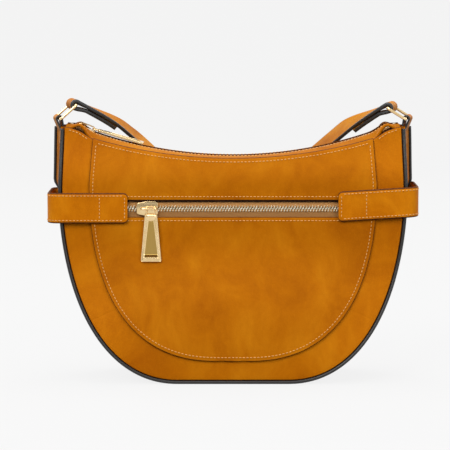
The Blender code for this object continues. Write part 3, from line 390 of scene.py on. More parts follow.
def new_material(name, color, roughness, metallic=0.0):
    """A new material with its node tree and its shader."""
    material = bpy.data.materials.new(name + "_finish")
    material.use_nodes = True
    shader = material.node_tree.nodes["Principled BSDF"]
    shader.inputs["Base Color"].default_value = (*color, 1.0)
    shader.inputs["Roughness"].default_value = roughness
    shader.inputs["Metallic"].default_value = metallic
    return material, material.node_tree, shader


def object_vector(tree, stretch=EVEN):
    """Coordinates on the piece, stretched along its axes."""
    source = tree.nodes.new("ShaderNodeTexCoord")
    mapping = tree.nodes.new("ShaderNodeMapping")
    mapping.inputs["Scale"].default_value = stretch
    tree.links.new(source.outputs["Object"], mapping.inputs["Vector"])
    return mapping.outputs["Vector"]


def noise_texture(tree, stretch, scale, detail, roughness, distortion=0.0):
    """A noise between 0 and 1 over the piece."""
    node = tree.nodes.new("ShaderNodeTexNoise")
    for socket, value in (("Scale", scale), ("Detail", detail), ("Roughness", roughness),
                          ("Distortion", distortion)):
        node.inputs[socket].default_value = value
    tree.links.new(object_vector(tree, stretch), node.inputs["Vector"])
    return node.outputs["Fac"]


def color_ramp(tree, factor, stops):
    """Colours for a value, between stops of (position, colour)."""
    node = tree.nodes.new("ShaderNodeValToRGB")
    elements = node.color_ramp.elements
    while len(elements) < len(stops):
        elements.new(0.5)
    for element, (position, color) in zip(elements, stops):
        element.position = position
        element.color = (*color, 1.0)
    tree.links.new(factor, node.inputs["Fac"])
    return node.outputs["Color"]


def mix_color(tree, factor, first, second):
    """A blend of two colours or outputs, by a number or an output."""
    node = tree.nodes.new("ShaderNodeMix")
    node.data_type = "RGBA"
    for value, socket in ((factor, node.inputs[0]), (first, node.inputs[6]), (second, node.inputs[7])):
        if isinstance(value, float):
            socket.default_value = value
        elif isinstance(value, tuple):
            socket.default_value = (*value, 1.0)
        else:
            tree.links.new(value, socket)
    return node.outputs[2]


def map_range(tree, value, low, high):
    """A value between 0 and 1, spread from low to high."""
    node = tree.nodes.new("ShaderNodeMapRange")
    node.inputs["To Min"].default_value = low
    node.inputs["To Max"].default_value = high
    tree.links.new(value, node.inputs["Value"])
    return node.outputs["Result"]


def add_bump(tree, shader, height, strength, distance, below=None):
    """Relief by a height, over the relief below it."""
    node = tree.nodes.new("ShaderNodeBump")
    node.inputs["Strength"].default_value = strength
    node.inputs["Distance"].default_value = distance
    tree.links.new(height, node.inputs["Height"])
    if below:
        tree.links.new(below, node.inputs["Normal"])
    tree.links.new(node.outputs["Normal"], shader.inputs["Normal"])
    return node.outputs["Normal"]


def finish(name):
    """A material out of FINISHES, made once."""
    known = bpy.data.materials.get(name + "_finish")
    if known:
        return known
    look = FINISHES[name]
    material, tree, shader = new_material(name, look["color"], look["roughness"], look.get("metallic", 0.0))
    if "specular" in look:
        shader.inputs["Specular IOR Level"].default_value = look["specular"]
    grain = noise_texture(tree, *look["grain"])
    if "ramp" in look:
        tree.links.new(color_ramp(tree, grain, look["ramp"]), shader.inputs["Base Color"])
    if "rough" in look:
        tree.links.new(map_range(tree, grain, *look["rough"]), shader.inputs["Roughness"])
    if "bump" in look:
        height = noise_texture(tree, *look["scratches"]) if "scratches" in look else grain
        add_bump(tree, shader, height, *look["bump"])
    return material


def leather(name="ochre_leather"):
    """Smooth pull-up leather: soft cloudy patches, fine specks, a fine grain and a satin finish."""
    known = bpy.data.materials.get(name + "_finish")
    if known:
        return known
    painted_light_level, patch_scale, painted_light_green, gloss = LEATHERS[name]
    material, tree, shader = new_material(name, OCHRE, 0.5)
    patches = noise_texture(tree, PATCH_STRETCH, patch_scale, *PATCH_GRAIN)
    # Painted light: this piece's copy is brightened or darkened by its level, and its green share raised, to stand
    # in for how light falls on it.
    tones = [(red * painted_light_level, amber * painted_light_level * painted_light_green, blue * painted_light_level)
             for red, amber, blue in (OCHRE_DARK, OCHRE, OCHRE_LIGHT)]
    cloudy = color_ramp(tree, patches, tuple(zip(PATCH_STOPS, tones)))
    streaks = map_range(tree, noise_texture(tree, *STREAKS), *STREAK_RANGE)
    streaky = mix_color(tree, streaks, cloudy, tuple(c * STREAK_SHADE for c in tones[0]))
    specks = map_range(tree, noise_texture(tree, *SPECKS), *SPECK_RANGE)
    tree.links.new(mix_color(tree, specks, streaky, tones[-1]), shader.inputs["Base Color"])
    tree.links.new(map_range(tree, patches, *PATCH_ROUGHNESS), shader.inputs["Roughness"])
    shader.inputs["Specular IOR Level"].default_value = gloss
    shader.inputs["Specular Tint"].default_value = OCHRE_SHEEN
    pores = tree.nodes.new("ShaderNodeTexVoronoi")
    pores.inputs["Scale"].default_value = PORE_SCALE
    tree.links.new(object_vector(tree), pores.inputs["Vector"])
    first = add_bump(tree, shader, pores.outputs["Distance"], *PORE_BUMP)
    add_bump(tree, shader, noise_texture(tree, *CREASES), *CREASE_BUMP, first)
    return material


def tape_material(ribs):
    """Woven zip tape: warm brown ribs along the zip, crossed by finer threads."""
    name = "zip_tape_" + ribs.lower()
    known = bpy.data.materials.get(name + "_finish")
    if known:
        return known
    material, tree, shader = new_material(name, TAPE_COLOR, TAPE_ROUGHNESS)
    weave = []
    for direction, scale in ((ribs, RIB_SCALE), ("X", WEFT_SCALE)):
        wave = tree.nodes.new("ShaderNodeTexWave")
        wave.bands_direction = direction
        wave.inputs["Scale"].default_value = scale
        wave.inputs["Distortion"].default_value = WEAVE_DISTORTION
        tree.links.new(object_vector(tree), wave.inputs["Vector"])
        weave.append(wave.outputs["Fac"])
    both = mix_color(tree, WEFT_SHARE, *weave)
    tree.links.new(color_ramp(tree, both, TAPE_STOPS), shader.inputs["Base Color"])
    add_bump(tree, shader, both, *WEAVE_BUMP)
    return material


# Stitches; a ring of a thread has its share of the length, its lift and its width
STITCH_INSET = 0.0031
STITCH_LENGTH = 0.0021
STITCH_PITCH = 0.0029
STITCH_RADIUS = 0.00031
STITCH_SIDES = 6
NORMAL_STEP = 0.001
STITCH_RINGS = ((0.0, -1.0, 0.55), (0.18, 0.35, 1.0), (0.5, 0.65, 1.0), (0.82, 0.35, 1.0), (1.0, -1.0, 0.55))


def stitch_row(name, line, normals):
    """A row of single stitches along a line on a surface: short threads that dip at both ends."""
    line, normals = np.asarray(line), np.asarray(normals)
    lengths = lengths_along(line)
    count = int(lengths[-1] / STITCH_PITCH)
    start = (lengths[-1] - count * STITCH_PITCH) / 2 + (STITCH_PITCH - STITCH_LENGTH) / 2
    at = start + STITCH_PITCH * np.arange(count)
    ahead = unit_rows(sample_line(line, lengths, at + STITCH_LENGTH) - sample_line(line, lengths, at))
    rings = []
    for share, lift, width in STITCH_RINGS:
        up = unit_rows(sample_line(normals, lengths, at + STITCH_LENGTH * share))
        across = np.cross(ahead, up)
        centre = sample_line(line, lengths, at + STITCH_LENGTH * share) + up * STITCH_RADIUS * lift
        rings.append(np.stack([centre + (across * math.cos(turn) + up * math.sin(turn)) * STITCH_RADIUS * width
                               for turn in FULL_TURN * np.arange(STITCH_SIDES) / STITCH_SIDES], axis=1))
    faces = []
    size = len(STITCH_RINGS) * STITCH_SIDES
    for first in range(0, count * size, size):
        faces += tube_faces(len(STITCH_RINGS), STITCH_SIDES, first)
    dress(add_mesh(name, np.stack(rings, axis=1).reshape(-1, 3), faces), [finish("thread")])


def surface_normal(surface, x, z):
    """Unit normal of a depth surface at (x, z), pointing away from the bag."""
    step = NORMAL_STEP
    dx = (surface(x + step, z) - surface(x - step, z)) / (2 * step)
    dz = (surface(x, z + step) - surface(x, z - step)) / (2 * step)
    sign = math.copysign(1.0, surface(x, z))
    normal = np.array([-dx * sign, sign, -dz * sign])
    return normal / np.linalg.norm(normal)


def stitch_on(name, line, surface, lift):
    """Stitches along a flat line of (x, z) on a depth surface."""
    line = resample(np.asarray(line), STITCH_LINE_PITCH)
    points = [(x, surface(x, z) + math.copysign(lift, surface(x, z)), z) for x, z in line]
    stitch_row(name, points, [surface_normal(surface, x, z) for x, z in line])


# Sheets with rolled edges
ROLL_STEPS = 4
# Rolled edges take the dark edge finish from this ring on: partly the leather's dark edge, partly painted shade
# along raised edges.
RIM_FROM_RING = 1
TINY = 1e-9
CORNER_REACH_LEAST = 0.7


def open_edges(flat, quads):
    """Open edges of flat quads, the points on them, and the way outward from each, longer at corners."""
    owners = {}
    for quad in quads:
        middle = flat[list(quad)].mean(axis=0)
        for a, b in zip(quad, quad[1:] + quad[:1]):
            owners.setdefault((min(a, b), max(a, b)), []).append((a, b, middle))
    outward = np.zeros_like(flat)
    edges = []
    for found in owners.values():
        if len(found) != 1:
            continue
        a, b, middle = found[0]
        step = flat[b] - flat[a]
        normal = np.array([step[1], -step[0]]) / max(np.linalg.norm(step), TINY)
        if np.dot(normal, (flat[a] + flat[b]) / 2 - middle) < 0:
            normal = -normal
        outward[a] += normal
        outward[b] += normal
        edges.append((a, b))
    border = sorted({v for edge in edges for v in edge})
    length = np.linalg.norm(outward[border], axis=1)
    reach = np.maximum(length, TINY) * np.clip(length / 2, CORNER_REACH_LEAST, 1.0)
    return edges, border, outward[border] / reach[:, None]


def rolled_sheet(name, grid, place, thickness, radius, body="bag", keep=None, closed=False, skin=None):
    """A sheet from a flat grid of (u, v), placed by place(u, v, drop), with its open edges rolled over.

    A closed sheet has an underside as well. A skin is the name of the sheet's leather.
    """
    rows, columns = grid.shape[:2]
    corners = [i * columns + j for i in range(rows - 1) for j in range(columns - 1)
               if keep is None or keep[i, j]]
    quads = [(a, a + 1, a + columns + 1, a + columns) for a in corners]
    used = sorted({v for quad in quads for v in quad})
    renamed = {v: k for k, v in enumerate(used)}
    quads = [tuple(renamed[v] for v in quad) for quad in quads]
    flat = grid.reshape(-1, 2)[used]
    face_count = len(quads)
    edges, border, outward = open_edges(flat, quads)
    points = [place(u, v, 0.0) for u, v in flat]
    turns = math.pi / 2 * np.arange(1, ROLL_STEPS + 1) / ROLL_STEPS
    rings = [(radius * math.sin(turn), radius * (1 - math.cos(turn))) for turn in turns]
    if closed:
        rings += [(away, thickness - drop) for away, drop in reversed(rings)] + [(0.0, thickness)]
    else:
        rings.append((radius, thickness))
    above = {v: v for v in border}
    for away, drop in rings:
        below = {}
        for v, out in zip(border, outward):
            below[v] = len(points)
            points.append(place(*(flat[v] + out * away), drop))
        quads += [(above[a], above[b], below[b], below[a]) for a, b in edges]
        above = below
    if closed:
        start = len(points)
        points += [place(u, v, thickness) for u, v in flat]
        quads += [tuple(start + v for v in reversed(quad)) for quad in quads[:face_count]]
        quads += [(above[a], above[b], start + b, start + a) for a, b in edges]
    piece = add_mesh(name, points, quads, body)
    if skin:
        dress(piece, [leather(skin), finish("edge_leather_and_shade")])
        # The rolled edge gets the dark edge finish: the leather's dark edge and painted shade along the raised
        # edge.
        for k in range(face_count + RIM_FROM_RING * len(edges), len(quads)):
            piece.data.polygons[k].material_index = 1
    return piece


def cells_round_slot(grid, low, high, half):
    """Which cells of a flat grid lie outside a slot between two levels."""
    middles = (grid[:-1, :-1] + grid[1:, :-1] + grid[:-1, 1:] + grid[1:, 1:]) / 4
    level = middles[..., 1]
    return ~((level > low) & (level < high) & (np.abs(middles[..., 0]) < half))


def height_rows(side, columns, snap=()):
    """A grid of (x, z) over an outline's inside; the upper rows bend into the top edge."""
    corner_x, corner_height = side[-1]
    rows = []
    for half, height in side:
        bend = smooth_step((height - PINCH_FROM_HEIGHT) / (corner_height - PINCH_FROM_HEIGHT))
        x = half * np.linspace(-1.0, 1.0, columns + 1)
        for low, high, where in snap:
            if low <= height <= high:
                for end in (-where, where):
                    x[np.argmin(np.abs(x - end))] = end
        drop = top_edge(corner_x) - top_edge(x * corner_x / half)
        rows.append(np.stack([x, height - drop * bend], axis=1))
    return np.array(rows)


# Front and back
BELLY = 0.0040
BACK_BELLY = 0.0012
BELLY_TOP = 0.120
BELLY_MIDDLE = 0.064
BELLY_HALF_WIDTH = 0.118
RIPPLE = 0.00035
RIPPLE_SCALE = 34.0
RIPPLE_CALM = 0.030
FRONT_SEED = 3.0
BACK_SEED = 9.0
SLOT_HEIGHT_CENTRE = 0.140
SLOT_HEIGHT = 0.0135
SLOT_HALF_LENGTH = 0.098
PANEL_COLUMNS = 96
SEAM_LAP = 0.008
BAND_SEAM_HEIGHT = 0.0497
SEAM_INSET = 2 * PIPING_RADIUS + GAP
BAND_ROWS = 96
BAND_COLUMNS = 12


def belly(x, z):
    """How far the filled leather stands out over the flat form, as a share."""
    reach = np.clip(1 - (x / BELLY_HALF_WIDTH) ** 2, 0.0, 1.0)
    return reach * smooth_step(z / BELLY_MIDDLE) * smooth_step((BELLY_TOP - z) / (BELLY_TOP - BELLY_MIDDLE))


def ripple(x, z, seed):
    """Soft unevenness of the leather, calm round the zip."""
    calm = 1 - math.exp(-((z - SLOT_HEIGHT_CENTRE) / RIPPLE_CALM) ** 2)
    return RIPPLE * calm * noise.noise(Vector((x * RIPPLE_SCALE, seed, z * RIPPLE_SCALE)))


def front_y(x, z, lift=0.0):
    """Depth of the front's leather face; the lift is added outward."""
    return -(half_depth(z) + lift + BELLY * belly(x, z) + ripple(x, z, FRONT_SEED))


def back_y(x, z, lift=0.0):
    """Depth of the back's leather face; the lift is added outward."""
    return half_depth(z) + lift + BACK_BELLY * belly(x, z) + ripple(x, z, BACK_SEED)


def panel_sheet(name, grid, surface, lift, skin, keep=None):
    """A sheet of leather on the front or the back, in place of the node of its name."""
    sheet = rolled_sheet(name + "_leather", grid, lambda x, z, drop: (x, surface(x, z, lift - drop), z),
                         LEATHER, EDGE_ROUND, keep=keep, skin=skin)
    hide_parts(name)


def make_front_panel():
    """The raised panel with the slot of the front zip."""
    side = inset_line(resample(mirror_line(panel_side()), LINE_PITCH), EDGE_ROUND)
    side = side[side[:, 0] > 0]
    low = SLOT_HEIGHT_CENTRE - SLOT_HEIGHT / 2 - EDGE_ROUND
    high = SLOT_HEIGHT_CENTRE + SLOT_HEIGHT / 2 + EDGE_ROUND
    for level in (low, high):
        side[np.argmin(np.abs(side[:, 1] - level)), 1] = level
    grid = height_rows(side, PANEL_COLUMNS, ((low, high, SLOT_HALF_LENGTH + EDGE_ROUND),))
    panel_sheet("front_panel", grid, front_y, PANEL_LIFT, "ochre_leather",
                cells_round_slot(grid, low, high, SLOT_HALF_LENGTH))


def side_lines():
    """Right-hand outer and inner lines of the side band, with rows that match one another."""
    share = np.linspace(0.0, 1.0, BAND_ROWS // 3 + 1)[1:, None]
    lines = []
    for line, corner, inset in ((body_curve(BAND_ROWS), BODY_CORNER, SEAM_INSET + EDGE_ROUND),
                                (panel_curve(BAND_ROWS), PANEL_CORNER, SEAM_LAP)):
        line = np.vstack([line, line[-1:] + (corner - line[-1:]) * share])
        lines.append(inset_line(line, inset))
    return lines


def band_grid(outer, inner, sign):
    """A grid of (x, z) between the band's two lines, kept under the top edge."""
    shares = np.linspace(0.0, 1.0, BAND_COLUMNS + 1)[None, :, None]
    grid = inner[:, None, :] + (outer - inner)[:, None, :] * shares
    grid[:, :, 0] *= sign
    x, z = grid[:, :, 0], grid[:, :, 1]
    grid[:, :, 1] = np.where(z > PINCH_FROM_HEIGHT, np.minimum(z, top_edge(x) - EDGE_ROUND), z)
    return grid


def make_front_bands():
    """Left, right and bottom band round the raised panel, meeting at two slanting seams."""
    outer, inner = side_lines()
    seam = int(np.argmin(np.abs(outer[:, 1] - BAND_SEAM_HEIGHT)))
    grids = {side: band_grid(outer[seam:], inner[seam:], sign) for side, sign in SIDES}
    left, right = (band_grid(outer[:seam + 1], inner[:seam + 1], sign) for _, sign in SIDES)
    grids["bottom"] = np.concatenate([left[::-1], right])
    for side, grid in grids.items():
        panel_sheet("front_band_" + side, grid, front_y, 0.0, "ochre_leather_band")


BACK_FLARE = 0.0050
FLARE_FROM_HEIGHT = 0.150
SEAM_FLARE = 0.0060
SEAM_FLARE_FROM = 0.146
SEAM_FLARE_RUN = 0.014
PIPING_PROUD = 0.0010
GUSSET_COLUMNS = 24
GUSSET_THICKNESS = 0.0012
GUSSET_SLACK = 0.0008
GUSSET_SLACK_SCALE = 30.0
GUSSET_SLACK_FROM = 0.012
GUSSET_SEED = 5.0
FOLD_POWER = 0.6
SEAM_ROLL_POWER = 8


def seam_rise(height):
    """Share of the back seam's flare at a height."""
    return smooth_step((height - SEAM_FLARE_FROM) / SEAM_FLARE_RUN)


def side_flare(height, back_share):
    """How far a side stands out over the front's outline: nothing at the front, most at the back seam."""
    soft = BACK_FLARE * smooth_step((height - FLARE_FROM_HEIGHT) / (CORNER_HEIGHT - FLARE_FROM_HEIGHT))
    seam = SEAM_FLARE * seam_rise(height)
    return soft * back_share + (seam - soft) * back_share ** 4


def make_back_panel():
    """The plain back, one piece from top edge to base."""
    side = inset_line(resample(body_side(), LINE_PITCH), SEAM_INSET + EDGE_ROUND)
    side[:, 0] += side_flare(side[:, 1], 1.0)
    side[-1, 1] = top_edge(side[-1, 0]) - EDGE_ROUND
    panel_sheet("back_panel", height_rows(side, PANEL_COLUMNS), back_y, LEATHER, "ochre_leather_back")


def make_piping():
    """Black piping round the front and the back seam."""
    line = inset_line(resample(mirror_line(body_side()), SEAM_PITCH), PIPING_RADIUS)
    for facing, sign in DEPTHS:
        back_share = (sign + 1) / 2
        path = []
        for x, z in line:
            out = side_flare(z, back_share) + back_share * PIPING_PROUD * seam_rise(z)
            path.append((x + math.copysign(out, x), sign * half_depth(z), z))
        path = np.array(path)
        path[[0, -1], 2] -= PIPING_RADIUS
        piece = tube_piece(facing + "_piping_roll", path, PIPING_RADIUS)
        dress(piece, [finish("black_piping")], facing + "_piping")


def fold_depth(height):
    """How far the gusset's middle folds inward at a height."""
    return FOLD_DEPTH * smooth_step((height - FOLD_FROM_HEIGHT) / (CORNER_HEIGHT - FOLD_FROM_HEIGHT))


def make_gusset():
    """The strip under the bag and up its sides, folding softly inward above the belts."""
    line = resample(mirror_line(body_side()), SEAM_PITCH)
    shares = np.linspace(-1.0, 1.0, GUSSET_COLUMNS + 1)
    outer = []
    inner = []
    for (x, z), (nx, nz) in zip(line, normals_of(line)):
        edge = half_depth(z) - PIPING_RADIUS - GAP
        push = fold_depth(z) * (0.5 + 0.5 * np.cos(math.pi * shares)) ** FOLD_POWER
        if z > GUSSET_SLACK_FROM:
            slack = noise.noise(Vector((x * GUSSET_SLACK_SCALE, GUSSET_SEED, z * GUSSET_SLACK_SCALE)))
            push += GUSSET_SLACK * abs(slack) * (1 - shares ** 2)
        push += PIPING_RADIUS * seam_rise(z) * np.maximum(shares, 0.0) ** SEAM_ROLL_POWER
        push -= side_flare(z, (shares + 1) / 2)
        outer.append(np.stack([x - math.copysign(1.0, x) * push, edge * shares, np.full_like(shares, z)], axis=1))
        inner.append(outer[-1] - np.array([nx, 0.0, nz]) * GUSSET_THICKNESS)
    outer = np.array(outer)
    loop = np.concatenate([outer, np.array(inner)[:, ::-1], outer[:, :1]], axis=1)
    dress(grid_piece("gusset_leather", loop), [leather("ochre_leather_gusset")], "gusset")


# Top zip
TOP_ZIP_HEIGHT = 0.1805
TOP_ZIP_RADIUS = 0.340
TOP_CHAIN_HALF_LENGTH = 0.1315
TOP_SLIDER_X = -0.1200
THIN_LEATHER = 0.0014
BAND_INNER_HALF = 0.0085
BAND_HUMP_HEIGHT = 0.0050
BAND_INNER_LIFT_SHARE = 0.35
BAND_TUCK_FROM = PANEL_TOP_HALF_WIDTH - 2.5 * SEAM_LAP
BAND_HUMP_X = 0.1235
BAND_END_DROP = 0.0040
BAND_HUMP_HALF_LENGTH = 0.014
BAND_END_X = 0.134
BAND_CROWN = 0.0006
BAND_RIM_RADIUS = 0.0013
BAND_RIM_SHARE = 0.97
BAND_EDGE_ROUND = 0.0004
BAND_SHARES = np.linspace(0.05, 0.95, 9)
BAND_STATIONS = 180
ARCH_STATIONS = 30
BAND_STITCH_SHARE = 0.22
BAND_STITCH_LEAN = 0.25
TAPE_THICKNESS = 0.0006
TAPE_HALF_WIDTH = 0.0125
TOP_TAPE_HALF_WIDTH = 0.0108
TOP_TAPE_NARROWING = 0.0021
TAPE_UNDER = THIN_LEATHER / 2 + GAP


def zip_arc_point(x, offset):
    """A point of the top zip's arc at x, moved up off the arc by the offset, as (x, height)."""
    turn = math.asin(x / TOP_ZIP_RADIUS)
    radius = TOP_ZIP_RADIUS - offset
    return radius * math.sin(turn), TOP_ZIP_HEIGHT + TOP_ZIP_RADIUS - radius * math.cos(turn)


def band_outer_edge(x, sign):
    """Half depth of the top band's outer edge, which tucks in behind the panels' top edges."""
    step = smooth_step((abs(x) - BAND_TUCK_FROM) / SEAM_LAP) if sign < 0 else 1.0
    corner = smooth_step((abs(x) - BAND_HUMP_X) / (BAND_END_X - BAND_HUMP_X))
    return half_depth(top_edge(x)) - (LEATHER + GAP) * step - PIPING_RADIUS * corner


def band_levels(x):
    """Levels of the top band's middle over the zip's arc, at its inner and its outer edge."""
    hump = BAND_HUMP_HEIGHT * (1 - smooth_step(abs((abs(x) - BAND_HUMP_X) / BAND_HUMP_HALF_LENGTH)))
    hump -= BAND_END_DROP * smooth_step((abs(x) - BAND_HUMP_X) / (BAND_END_X - BAND_HUMP_X))
    drop = zip_arc_point(x, 0.0)[1] - top_edge(x) + THIN_LEATHER / 2
    return hump * BAND_INNER_LIFT_SHARE, hump - drop


def top_band_place(sign):
    """Places (x, share of the width, drop) on the front or the back top band."""
    def place(x, share, drop):
        near = min(max(x, -BAND_END_X), BAND_END_X)
        inner, outer = band_levels(near)
        part = min(max(share, 0.0), 1.0)
        crown = BAND_CROWN * math.sin(math.pi * part) if sign < 0 else 0.0
        px, pz = zip_arc_point(x, inner + (outer - inner) * part + crown + THIN_LEATHER / 2 - drop)
        edge = band_outer_edge(near, sign)
        return px, sign * (BAND_INNER_HALF + (edge - BAND_INNER_HALF) * share), pz
    return place


def make_top_bands():
    """Leather strips from the panels' top edges up to the zip, arched at both ends, with stitches."""
    stations = np.linspace(-BAND_END_X + EDGE_ROUND, BAND_END_X - EDGE_ROUND, BAND_STATIONS)
    arch = np.linspace(BAND_HUMP_X - BAND_HUMP_HALF_LENGTH, BAND_END_X - EDGE_ROUND, ARCH_STATIONS)
    grid = np.array([[(x, share) for share in BAND_SHARES] for x in stations])
    for facing, sign in DEPTHS:
        name = "top_band_" + facing
        place = top_band_place(sign)
        band = rolled_sheet(name + "_leather", grid, place, THIN_LEATHER, BAND_EDGE_ROUND,
                            skin="ochre_leather_trim")
        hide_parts(name)
        for side, end in SIDES:
            path = [place(x, BAND_RIM_SHARE, THIN_LEATHER / 2) for x in end * arch]
            rim = tube_piece(name + "_rim_" + side, path, BAND_RIM_RADIUS)
            dress(rim, [leather("ochre_leather_gusset")])
        line = [place(x, BAND_STITCH_SHARE, 0.0) for x in stations[4:-4]]
        normals = [(-x / TOP_ZIP_RADIUS, sign * BAND_STITCH_LEAN, 1.0) for x in stations[4:-4]]
        stitch_row(name + "_stitches", line, normals)


# Zip chain
TOOTH_HALF_CHAIN = 0.0024
TOOTH_HEIGHT = 0.0024
TOOTH_PITCH = 0.00235
TOOTH_LENGTH = 0.00120
TOOTH_LEAN = 0.00036
TOOTH_TIP = 0.0005
TOOTH_SHANK_SHARE = 0.74
TOOTH_HEAD_FROM = 0.30
TOOTH_HEAD_RUN = 0.25
TOOTH_BEVEL = 0.00022
TAPE_EDGE = 0.0007
TAPE_CORD_WIDTH = 0.0024
TAPE_CORD_RISE = 0.0004
CHAIN_FRONT_HALF = 0.096
ZIP_STOP_LENGTH = 0.0025
ZIP_STOP_HEIGHT = 0.0012
METAL_ROUND = 0.0003
FRONT_TAPE_STATIONS = 120
TOP_TAPE_STATIONS = 160


def box_at(name, half, bevel, origin, along, across, up, body="bag"):
    """A rounded box at an origin, turned to three directions."""
    points, faces = rounded_box_points(half, bevel)
    return add_mesh(name, [origin + along * p.x + across * p.y + up * p.z for p in points], faces, body)


def tooth_shape():
    """One tooth lying along +Y from the tape to past the middle: a shank and a wider head."""
    length = TOOTH_HALF_CHAIN + TOOTH_TIP
    points, faces = rounded_box_points((TOOTH_LENGTH / 2, length / 2, TOOTH_HEIGHT / 2), TOOTH_BEVEL)
    shaped = []
    for p in points:
        reach = p.y / length + 0.5
        head = smooth_step((reach - TOOTH_HEAD_FROM) / TOOTH_HEAD_RUN)
        pinch = TOOTH_SHANK_SHARE + (1 - TOOTH_SHANK_SHARE) * head
        lean = TOOTH_LEAN * (2 * reach - 1)
        shaped.append(Vector((p.x * pinch + lean, TOOTH_TIP - length * (1 - reach), p.z)))
    return shaped, faces


def place_teeth(name, frames):
    """Copies of the tooth at frames (origin, along, toward the middle, up), as one mesh."""
    shape, shape_faces = tooth_shape()
    points = []
    faces = []
    for origin, along, inward, up in frames:
        faces += [[len(points) + v for v in face] for face in shape_faces]
        points += [origin + along * p.x + inward * p.y + up * p.z for p in shape]
    dress(add_mesh(name, points, faces), [finish("teeth_brass")])


def tape_profile(half_width=TAPE_HALF_WIDTH, bend=lambda across: 0.0):
    """Closed outline across one half of the tape, from the middle outward, with a thicker corded edge."""
    near, cord, rise = TAPE_EDGE, TAPE_CORD_WIDTH, TAPE_CORD_RISE
    top = [(near, 0.0), (near + rise, rise), (cord - rise, rise), (cord, 0.0), (BAND_INNER_HALF, 0.0),
           (half_width, 0.0)]
    low = [(across, -TAPE_THICKNESS) for across in (half_width, BAND_INNER_HALF, near)]
    return [(across, lift + bend(across)) for across, lift in top + low + top[:1]]


def make_stop(name, centre, along, across, up):
    """A zip's end stop: a small rounded block of metal."""
    stop = box_at(name + "_metal", (ZIP_STOP_LENGTH / 2, TOOTH_HALF_CHAIN, ZIP_STOP_HEIGHT / 2), METAL_ROUND,
                  centre, along, across, up)
    dress(stop, [finish("brass")], name)


def front_frames(sign):
    """Frames of one row of the front zip; the other row stands half a pitch along."""
    half = CHAIN_FRONT_HALF - ZIP_STOP_LENGTH - GAP
    start = -half + TOOTH_LENGTH / 2 + (TOOTH_PITCH / 2 if sign > 0 else 0.0)
    count = int((half - TOOTH_LENGTH / 2 - start) / TOOTH_PITCH) + 1
    level = -UPPER_HALF_DEPTH + TAPE_THICKNESS / 2
    return [(Vector((start + TOOTH_PITCH * i, level, SLOT_HEIGHT_CENTRE)), -sign * RIGHT, -sign * UP, FORWARD)
            for i in range(count)]


def make_front_zip():
    """Two woven tapes with a corded edge, two rows of teeth and two end stops."""
    profile = tape_profile()
    for side, sign in (("upper", 1), ("lower", -1)):
        rows = [[(x, -UPPER_HALF_DEPTH - up, SLOT_HEIGHT_CENTRE + sign * across) for across, up in profile]
                for x in np.linspace(-CHAIN_FRONT_HALF, CHAIN_FRONT_HALF, FRONT_TAPE_STATIONS)]
        tape = grid_piece("front_zip_tape_" + side + "_cloth", rows)
        dress(tape, [tape_material("Z")], "front_zip_tape_" + side)
        place_teeth("front_zip_teeth_" + side, front_frames(sign))
    for side, sign in SIDES:
        centre = Vector((sign * (CHAIN_FRONT_HALF - ZIP_STOP_LENGTH / 2),
                         -UPPER_HALF_DEPTH - GAP - ZIP_STOP_HEIGHT / 2, SLOT_HEIGHT_CENTRE))
        make_stop("front_zip_stop_" + side, centre, RIGHT, UP, FORWARD)


def top_frame(x, offset=-TAPE_UNDER):
    """Origin on the top zip at x, and the directions along it and up from it."""
    turn = math.asin(x / TOP_ZIP_RADIUS)
    px, pz = zip_arc_point(x, offset)
    return (Vector((px, 0.0, pz)), Vector((math.cos(turn), 0.0, math.sin(turn))),
            Vector((-math.sin(turn), 0.0, math.cos(turn))))


def tape_bend(x, sign):
    """How far the top tape dips beside the chain at x, where it follows the band."""
    def bend(across):
        inner, outer = band_levels(x)
        share = max(across - BAND_INNER_HALF, 0.0) / (band_outer_edge(x, sign) - BAND_INNER_HALF)
        return min(inner + (outer - inner) * share, 0.0) - (GAP if share > 0 else 0.0)
    return bend


def make_top_zip():
    """The main zip's tapes, teeth and stops, bent along its arc."""
    half = TOP_CHAIN_HALF_LENGTH
    narrow_from = BAND_HUMP_X - 2 * BAND_HUMP_HALF_LENGTH
    teeth_half = half - ZIP_STOP_LENGTH - GAP - TOOTH_LENGTH / 2
    for facing, sign in DEPTHS:
        rows = []
        for x in np.linspace(-half, half, TOP_TAPE_STATIONS):
            origin, along, up = top_frame(x)
            narrow = TOP_TAPE_NARROWING * smooth_step((abs(x) - narrow_from) / BAND_HUMP_HALF_LENGTH)
            profile = tape_profile(TOP_TAPE_HALF_WIDTH - narrow, tape_bend(x, sign))
            rows.append([tuple(origin + BACK * sign * across + up * lift) for across, lift in profile])
        tape = grid_piece("top_zip_tape_" + facing + "_cloth", rows)
        dress(tape, [tape_material("Y")], "top_zip_tape_" + facing)
        frames = []
        for i in range(int(2 * teeth_half / TOOTH_PITCH)):
            x = -teeth_half + TOOTH_PITCH * (i + (0.5 if sign > 0 else 0.0))
            origin, along, up = top_frame(x, -TAPE_UNDER - TAPE_THICKNESS / 2)
            frames.append((origin, along, -sign * BACK, up))
        place_teeth("top_zip_teeth_" + facing, frames)
    for side, sign in SIDES:
        origin, along, up = top_frame(sign * (half - ZIP_STOP_LENGTH / 2), (ZIP_STOP_HEIGHT - THIN_LEATHER) / 2)
        make_stop("top_zip_stop_" + side, origin, along, BACK, up)


